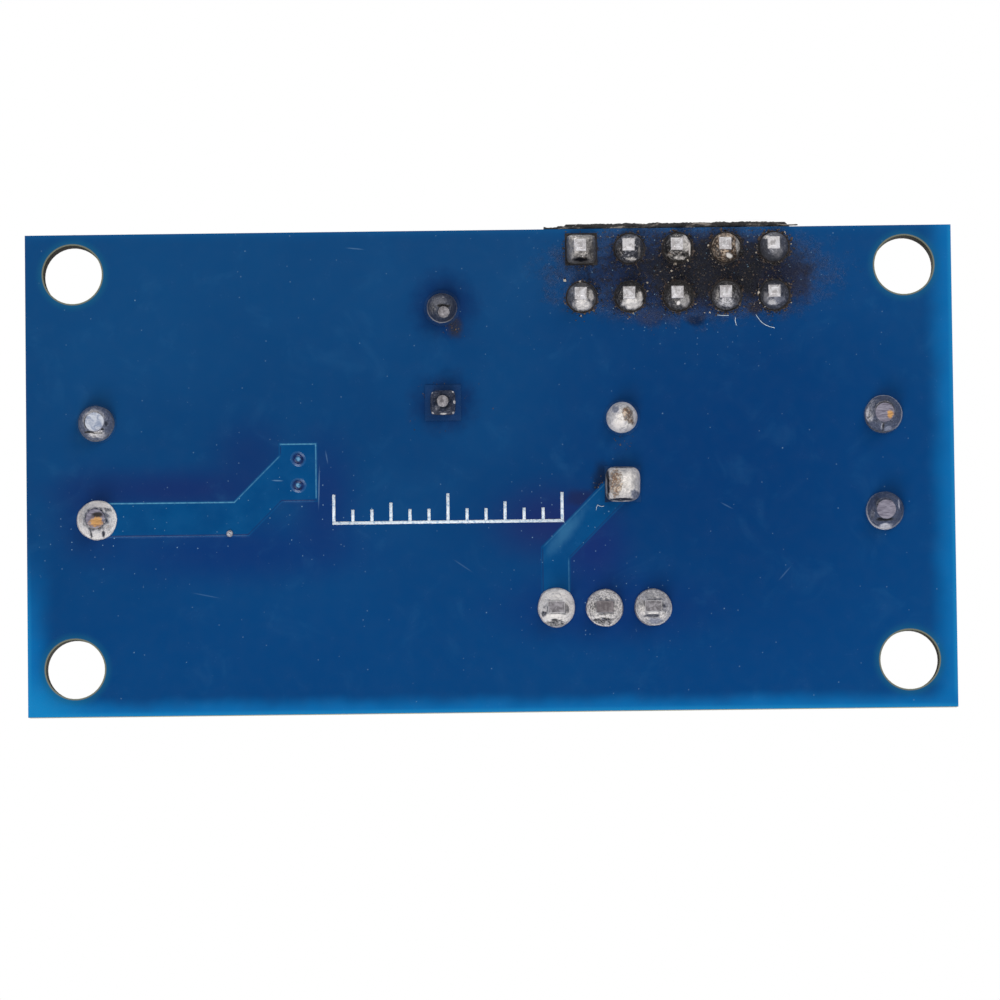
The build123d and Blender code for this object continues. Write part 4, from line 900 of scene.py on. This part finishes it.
def bolt_thread():
    """A ridge that winds round the heatsink bolt's shank from its tip into the nut, as a helix."""
    tip_gap, into_nut = 0.3, 0.1
    along = np.linspace(0, 1, 260)
    tip_y, nut_y = (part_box(name)[0][1] / mm for name in ("heatsink_screw", "heatsink_nut"))
    wound = tip_y + tip_gap + (nut_y + into_nut - tip_y - tip_gap) * along
    turn = 2 * np.pi * wound / thread_pitch
    path = [bolt_x + bolt_radius * np.cos(turn), wound, bolt_z + bolt_radius * np.sin(turn)]
    ridge = tube(np.column_stack(path), thread_height * np.clip(along * 12, 0.2, 1), 6)
    make_piece("bolt_thread_ridge", [ridge], zinc, "fastener")


lead_metal = cut_lead_finish()
tented_vias()
flux_crumbs()
edge_burr()
stray_fibres()
bent_leads()
# A bead of solder that fell on the track's edge
solder_piece("stray_solder", [solder_bead((-13.73, 3.36), rim=0.18, lead=(0.03, 0.03), height=0.16, seed=91,
                                          dome=0.9, lumps=0.01, base=(0.6, 0.5, -0.4))])


# White ink: a plain millimetre scale below, outlines and signs of the parts above


def ink_line(path, width=ink_width, low=ink_low, high=ink_high):
    """A flat strip of ink along a path: each point moved half the width to both sides, at two heights."""
    path = np.array(path, float)
    ahead = directions(path)
    sideways = np.column_stack([-ahead[:, 1], ahead[:, 0]]) * width / 2
    left, right = path + sideways, path - sideways
    low, high = np.full((len(path), 1), low), np.full((len(path), 1), high)
    return closed_shape(np.stack([np.hstack([left, low]), np.hstack([right, low]),
                                  np.hstack([right, high]), np.hstack([left, high])], axis=1))


def straight(start, end):
    """A straight path in three points."""
    return [start, ((start[0] + end[0]) / 2, (start[1] + end[1]) / 2), end]


def ink_ring(centre, radius, count=72):
    """A flat ring of ink: a small rectangle carried round a circle."""
    turn = np.linspace(0, 2 * np.pi, count, endpoint=False)
    inner, outer = radius - ink_width / 2, radius + ink_width / 2
    corners = [(inner, ink_low), (outer, ink_low), (outer, ink_high), (inner, ink_high)]
    rings = np.array([np.column_stack([centre[0] + r * np.cos(turn), centre[1] + r * np.sin(turn),
                                       np.full(count, z)]) for r, z in corners])
    index = np.arange(4 * count).reshape(4, count)
    below = np.roll(index, -1, axis=0)
    quads = np.stack([index, np.roll(index, -1, axis=1), np.roll(below, -1, axis=1), below], axis=-1)
    return turn_outwards(rings.reshape(-1, 3), quads.reshape(-1, 4), np.zeros((0, 3), int))


def boxed(left, right, front, back):
    """Four strips round a rectangle."""
    sides = [((left, front), (right, front)), ((left, back), (right, back)),
             ((left, front), (left, back)), ((right, front), (right, back))]
    return [ink_line(straight(*side)) for side in sides]


def signed(x, y, plus=True):
    """A minus sign, or a plus sign with its second stroke."""
    bars = [straight((x - 0.45, y), (x + 0.45, y))]
    if plus:
        bars.append(straight((x, y - 0.45), (x, y + 0.45)))
    return [ink_line(bar) for bar in bars]


def printed_scale():
    """Twelve millimetres on the solder side, with longer strokes at every third and sixth."""
    left, y, length = -8.25, 2.88, 12
    strokes = []
    for number in range(length + 1):
        x = left + number
        tall = 1.5 if number % 6 == 0 else 1.05 if number % 3 == 0 else 0.7
        strokes.append(ink_line(straight((x, y), (x, y - tall)), scale_width, -0.02, -0.002))
    ends = (left - scale_width / 2, y), (left + length + scale_width / 2, y)
    strokes.append(ink_line(straight(*ends), scale_width, -0.022, -0.002))
    make_piece("printed_scale", strokes, ink, "board")


def printed_outlines():
    """Lines round the parts of the component side, and the signs of their poles."""
    printed = []
    for box in ((-24.15, -16.1, -5.4, 5.85), (16.1, 24.15, -5.8, 5.45), (3.3, 16.6, -12.4, -7.3),
                (-1.95, 13.8, 3.15, 12.4), (-9.5, -3.8, -1.3, 2.0), (14.9, 17.3, 6.15, 7.85),
                (14.9, 17.3, 8.6, 10.2), (13.9, 15.9, -0.95, 1.75)):
        printed += boxed(*box)
    printed += [ink_ring((large_x, large_y), 5.35), ink_ring((small_x, small_y), 4.3)]
    printed += [ink_ring((x, y), 2.2) for x in (-hole_x, hole_x) for y in (-hole_y, hole_y)]
    for x, y, plus in ((-15.2, 2.57, True), (-15.2, -2.51, False), (15.2, -2.51, True), (15.2, 2.57, False),
                       (-8.6, -3.2, True), (2.9, 2.3, True), (-10.0, 3.0, False)):
        printed += signed(x, y, plus)
    make_piece("printed_outlines", printed, ink, "board")


ink = Finish("white_ink", rough=0.5)
wear = ink.step(ink.grain(0.16, detail=4), 0.3, 0.55)
ink.dress(ink.blend(wear, (150, 178, 206), (226, 234, 242)), ink.step(wear, 0.0, 1.0, 0.5, 0.4),
          normal=ink.relief(ink.grain(0.1), 0.01))
printed_scale()
printed_outlines()


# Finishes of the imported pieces


def moulded(name, dark, pale, rough, fine=0.25, depth=0.012, edge=0.12):
    """Moulded plastic: faint flow marks, a fine skin, and edges paler from rubbing and from a painted
    highlight.
    """
    made = Finish(name, rough=rough)
    colour = made.clouds(made.grain(3.0), 0.35, 0.65, dark, pale)
    rounded = made.round_edges(edge)
    # Paler edges: rubbing and a painted highlight.
    rubbed_and_lit_edge = tuple(min(255, int(255 * level ** 0.4545) + 60) for level in tone(*pale)[:3])
    colour = made.lay(colour, made.wear(rounded), 0.35, rubbed_and_lit_edge)
    skin = made.grain(fine, detail=4)
    return made.dress(colour, made.step(skin, 0.3, 0.7, rough - 0.08, rough + 0.1),
                      normal=made.relief(skin, depth, rounded))


def plated(name, dark, pale, rough, brush=(1, 1, 1), edge=0.08, depth=0.008, cut=None, clouds=1.8):
    """Plated or drawn metal, brushed one way where stretched, with a bare grey face below the height cut."""
    made = Finish(name, rough=rough, metal=1.0)
    lines = made.grain(0.12, detail=4, stretch=brush)
    cloud = made.grain(clouds, detail=4)
    colour = made.clouds(cloud, 0.35, 0.7, dark, pale)
    colour = made.blend(made.step(lines, 0.3, 0.75, 0.0, 0.35), colour, pale)
    if cut is not None:
        z = made.axes()[2]
        sawn = made.clouds(made.grain(0.2, detail=5), 0.35, 0.7, (108, 102, 104), (150, 142, 144))
        colour = made.blend(made.step(z, cut + 0.05, cut), colour, sawn)
        made.dress(metal=made.step(z, cut, cut + 0.1, 0.4, 1.0))
    uneven = made.plus(made.times(lines, 0.4), cloud)
    return made.dress(colour, made.step(uneven, 0.45, 0.95, rough - 0.05, rough + 0.1),
                      normal=made.relief(lines, depth, made.round_edges(edge)))


def contact_finish():
    """Tinned brass: violet-grey at the cut tips, with smeared tin, char and bare brass on some of them."""
    made = Finish("contact_brass", rough=0.34, metal=1.0)
    patch = made.grain(0.35, detail=5, warp=1.0)
    scratch = made.grain(0.09, detail=3, stretch=(5, 1, 1), warp=0.6)
    ragged = made.swing(patch, 1.5)
    tin = made.clouds(patch, 0.35, 0.65, (168, 165, 172), (204, 202, 206))
    cut = made.clouds(scratch, 0.35, 0.65, (100, 96, 112), (142, 138, 152))
    smeared = made.clouds(patch, 0.35, 0.6, (140, 150, 172), (196, 200, 210))
    cut = made.blend(made.spot((-20.76, -2.62), (0.6, 0.6), 0.2), cut, smeared)
    char = made.spot((-20.6, 2.36), (0.3, 0.15), 0.3, made.minus(patch, 0.5))
    cut = made.blend(char, cut, (34, 28, 28))
    brass = made.sums("MAXIMUM", made.spot((-20.64, 2.74), (0.36, 0.26), 0.25, ragged),
                      made.spot((20.98, -2.4), (0.16, 0.2), 0.3, ragged))
    cut = made.blend(brass, cut, made.clouds(scratch, 0.3, 0.6, (140, 98, 60), (204, 154, 92)))
    tip = made.step(made.axes()[2], -1.42, -1.48)
    return made.dress(made.blend(tip, tin, cut), made.step(tip, 0.0, 1.0, 0.32, 0.5),
                      made.step(tip, 0.0, 1.0, 1.0, 0.3), made.relief(scratch, 0.03, made.round_edges(0.08)))


def pin_finish():
    """Gold-flashed pins, silvered by solder below the board."""
    made = Finish("gold_flashed_pin", rough=0.28, metal=1.0)
    z = made.axes()[2]
    patch = made.grain(0.3, detail=4)
    gold = made.clouds(patch, 0.3, 0.7, (206, 168, 84), (230, 194, 112))
    silver = made.clouds(patch, 0.35, 0.65, (184, 179, 179), (229, 226, 228))
    colour = made.blend(made.step(z, 1.2, 1.8), silver, gold)
    return made.dress(colour, made.step(patch, 0.3, 0.7, 0.22, 0.36), made.step(z, -1.35, -1.2, 0.3, 1.0),
                      made.relief(patch, 0.02, made.round_edges(0.06)))


def sleeve_finish(name, centre_x, centre_y):
    """Black shrink sleeve with a pale stripe down its front, broken by dark bars, at the negative lead."""
    made = Finish(name, rough=0.22)
    x, y, z = made.axes()
    turned = made.sums("ARCTAN2", made.minus(y, centre_y), made.minus(x, centre_x))
    away = made.sums("ABSOLUTE", made.sums("WRAP", made.minus(turned, -np.pi / 2), np.pi, -np.pi))
    stripe = made.step(away, 0.42, 0.4)
    bar = made.times(made.step(away, 0.2, 0.18), made.step(made.sums("WRAP", z, 2.6, 0.0), 0.62, 0.58))
    white = made.minus(stripe, made.times(bar, stripe))
    cloud = made.grain(2.0)
    black = made.clouds(cloud, 0.3, 0.7, (16, 17, 20), (26, 27, 31))
    pale = made.clouds(cloud, 0.3, 0.7, (186, 188, 192), (206, 208, 212))
    wrinkle = made.grain(0.9, detail=2, stretch=(1, 1, 3))
    return made.dress(made.blend(white, black, pale), made.step(wrinkle, 0.3, 0.7, 0.18, 0.3),
                      normal=made.relief(wrinkle, 0.03, made.round_edges(0.15)))


zinc = plated("zinc_steel", (186, 188, 190), (214, 216, 218), 0.3)
tinned = plated("tinned_copper", (190, 190, 194), (216, 216, 220), 0.32)
bolt_thread()
lens = Finish("clear_resin", (232, 240, 226), rough=0.12, Transmission_Weight=0.85, IOR=1.5)
lens.dress(normal=lens.relief(lens.grain(0.3), 0.01))

finishes = {
    "circuit_board": board,
    "component_side_tracks": upper_track,
    "header_pads": moulded("header_pad_under_flux", (12, 12, 18), (36, 29, 27), 0.4, fine=0.1, edge=0.02),
    "header_insulator": moulded("header_plastic", (20, 20, 22), (30, 30, 33), 0.5),
    "header_pins": pin_finish(),
    "regulator_body": moulded("regulator_epoxy", (27, 27, 29), (38, 38, 40), 0.55, fine=0.12, depth=0.03),
    "regulator_tab": plated("tinned_tab", (186, 187, 190), (212, 213, 216), 0.3, brush=(1, 1, 14), cut=-1.38),
    "regulator_leads": lead_metal,
    "thermal_paste": moulded("thermal_paste", (214, 214, 210), (232, 232, 228), 0.6, 0.4, 0.05, 0.03),
    "heatsink": plated("drawn_aluminium", (200, 202, 206), (218, 220, 224), 0.36, (1, 1, 60), clouds=9.0),
    "diode_body": moulded("diode_moulding", (22, 22, 24), (34, 34, 36), 0.5, edge=0.06),
    "resistor_body": moulded("chip_glaze", (22, 22, 26), (32, 32, 36), 0.35, edge=0.04),
    "ceramic_bodies": moulded("tan_ceramic", (176, 148, 112), (196, 168, 130), 0.5, edge=0.05),
    "light_base": moulded("light_base", (224, 222, 210), (238, 236, 226), 0.5, edge=0.03),
    "light_lens": lens,
    "surface_solder": solder,
}
for name in ("heatsink_screw", "heatsink_washer", "heatsink_nut"):
    finishes[name] = zinc
for name in ("vias", "diode_terminals", "resistor_caps", "ceramic_caps", "light_caps", "surface_pads"):
    finishes[name] = tinned
for row in ("input_terminal", "output_terminal", "large_capacitor", "small_capacitor", "regulator"):
    finishes[f"{row}_pads"] = covered_pad
can_metal = plated("can_aluminium", (204, 206, 210), (222, 223, 226), 0.34, depth=0.003, clouds=6.0)
rubber = moulded("bung_rubber", (24, 24, 25), (34, 34, 36), 0.75)
for size, x, y in (("large", large_x, large_y), ("small", small_x, small_y)):
    finishes[f"{size}_capacitor_sleeve"] = sleeve_finish(f"{size}_capacitor_sleeve_film", x, y)
    finishes[f"{size}_capacitor_can"] = can_metal
    finishes[f"{size}_capacitor_bung"] = rubber
    finishes[f"{size}_capacitor_leads"] = lead_metal
housing = moulded("terminal_plastic", (16, 84, 150), (22, 98, 168), 0.42)
contact_metal = contact_finish()
cage_steel = plated("cage_steel", (176, 177, 178), (204, 205, 206), 0.36)
nickel = plated("nickel_steel", (196, 196, 194), (220, 220, 218), 0.3, depth=0.004, clouds=3.0)
for end in ("input", "output"):
    finishes[f"{end}_terminal_housing"] = housing
    finishes[f"{end}_terminal_contacts"] = contact_metal
    for number in (1, 2):
        finishes[f"{end}_clamp_cage_{number}"] = cage_steel
        finishes[f"{end}_clamp_screw_{number}"] = nickel
for name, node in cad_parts.items():
    if name in finishes:
        node.data.materials.clear()
        node.data.materials.append(finishes[name].material)


# Floor, world, lamps and camera


def floor():
    """A pale floor under the pin tips, which fades into the world and isn't there from below or for light."""
    made = Finish("pale_floor", (244, 244, 244), rough=0.9)
    clear_from, clear_at = 55 * mm, 150 * mm
    made.dress(made.clouds(made.grain(30, detail=2), 0.3, 0.7, (242, 242, 242), (247, 247, 247)))
    clear = made.add("ShaderNodeBsdfTransparent").outputs[0]
    back = made.add("ShaderNodeNewGeometry").outputs["Backfacing"]
    far = made.add("ShaderNodeVectorMath", {0: made.places}, operation="LENGTH").outputs["Value"]
    gone = made.sums("MAXIMUM", back, made.step(far, clear_from, clear_at))
    shown = made.add("ShaderNodeMixShader", {0: gone, 1: made.shader.outputs[0], 2: clear}).outputs[0]
    made.plug(made.tree.nodes["Material Output"].inputs["Surface"], shown)
    mesh = bpy.data.meshes.new("floor")
    corners = [(-1, -1), (1, -1), (1, 1), (-1, 1)]
    mesh.from_pydata([[x * floor_half * mm, y * floor_half * mm, floor_height * mm] for x, y in corners], [],
                     [(0, 1, 2, 3)])
    mesh.materials.append(made.material)
    slab = bpy.data.objects.new("floor", mesh)
    bpy.context.scene.collection.objects.link(slab)
    slab.visible_diffuse = False
    slab.visible_glossy = False
    slab.visible_transmission = False
    slab.visible_shadow = False


def studio_world():
    """White where the camera and glass look, an even grey for light, and a mirror image that is dim below.

    The mirror's brightness goes by height: dim straight down, as round a lens, white for most directions, and
    about half of white straight up.
    """
    world = bpy.data.worlds.new("studio")
    bpy.context.scene.world = world
    world.use_nodes = True
    sky = Nodes(world.node_tree)
    sky.tree.nodes.clear()
    rays = sky.add("ShaderNodeLightPath").outputs
    sight = sky.add("ShaderNodeTexCoord").outputs["Generated"]
    height = sky.add("ShaderNodeSeparateXYZ", {0: sight}).outputs[2]
    lift = sky.add("ShaderNodeMapRange", {"Value": height, "From Min": -1.0}).outputs[0]
    ramp = sky.add("ShaderNodeValToRGB", {0: lift})
    stops = ramp.color_ramp.elements
    stops[0].position, stops[0].color = 0.05, (0.05, 0.05, 0.055, 1)
    stops[1].position, stops[1].color = 0.17, (1, 1, 1, 1)
    for place, level in ((0.8, 1.0), (0.97, 0.55)):
        stop = stops.new(place)
        stop.color = (level, level, level, 1)
    white = sky.add("ShaderNodeBackground", {0: (1, 1, 1, 1)}).outputs[0]
    mirror = sky.add("ShaderNodeBackground", {0: ramp.outputs[0]}).outputs[0]
    even = sky.add("ShaderNodeBackground", {0: (0.96, 0.98, 1.0, 1), 1: 0.5}).outputs[0]
    lit = sky.add("ShaderNodeMixShader", {0: rays["Is Glossy Ray"], 1: even, 2: mirror}).outputs[0]
    seen = sky.sums("MAXIMUM", rays["Is Camera Ray"], rays["Is Transmission Ray"])
    final = sky.add("ShaderNodeMixShader", {0: seen, 1: lit, 2: white}).outputs[0]
    sky.add("ShaderNodeOutputWorld", {0: final})


def lamp(name, place, width, power):
    """A square softbox that faces the board."""
    light = bpy.data.lights.new(name, "AREA")
    light.size = width * mm
    light.energy = power
    holder = bpy.data.objects.new(name, light)
    holder.location = Vector(place) * mm
    holder.rotation_mode = "QUATERNION"
    holder.rotation_quaternion = (-Vector(place)).to_track_quat("-Z", "Y")
    bpy.context.scene.collection.objects.link(holder)


def photo_camera(place, target, lens, roll):
    """A camera below the board, rolled about its own line of sight, with the board's back edge low."""
    data = bpy.data.cameras.new("camera")
    data.lens, data.sensor_width = lens, 36.0
    data.clip_start, data.clip_end = 0.01, 10.0
    forward = (Vector(target) - Vector(place)).normalized()
    right = forward.cross(Vector((0, -1, 0))).normalized()
    up = right.cross(forward)
    turned = right * np.cos(roll) - up * np.sin(roll)
    lifted = right * np.sin(roll) + up * np.cos(roll)
    holder = bpy.data.objects.new("camera", data)
    facing = Matrix((turned, lifted, -forward)).transposed().to_4x4()
    holder.matrix_world = Matrix.Translation(Vector(place) * mm) @ facing
    bpy.context.scene.collection.objects.link(holder)
    bpy.context.scene.camera = holder


floor()
studio_world()
lamp("low_key", (-60, 190, -230), 160, 0.5)
lamp("low_fill", (120, -170, -240), 160, 0.31)
lamp("high_key", (-180, -220, 320), 220, 1.3)
lamp("high_fill", (240, 160, 260), 220, 0.7)
photo_camera((1.6, 21.0, -319.0), (0.490, 1.761, 0.0), 218.88, np.radians(0.687))
bpy.context.scene.view_settings.view_transform = "Standard"
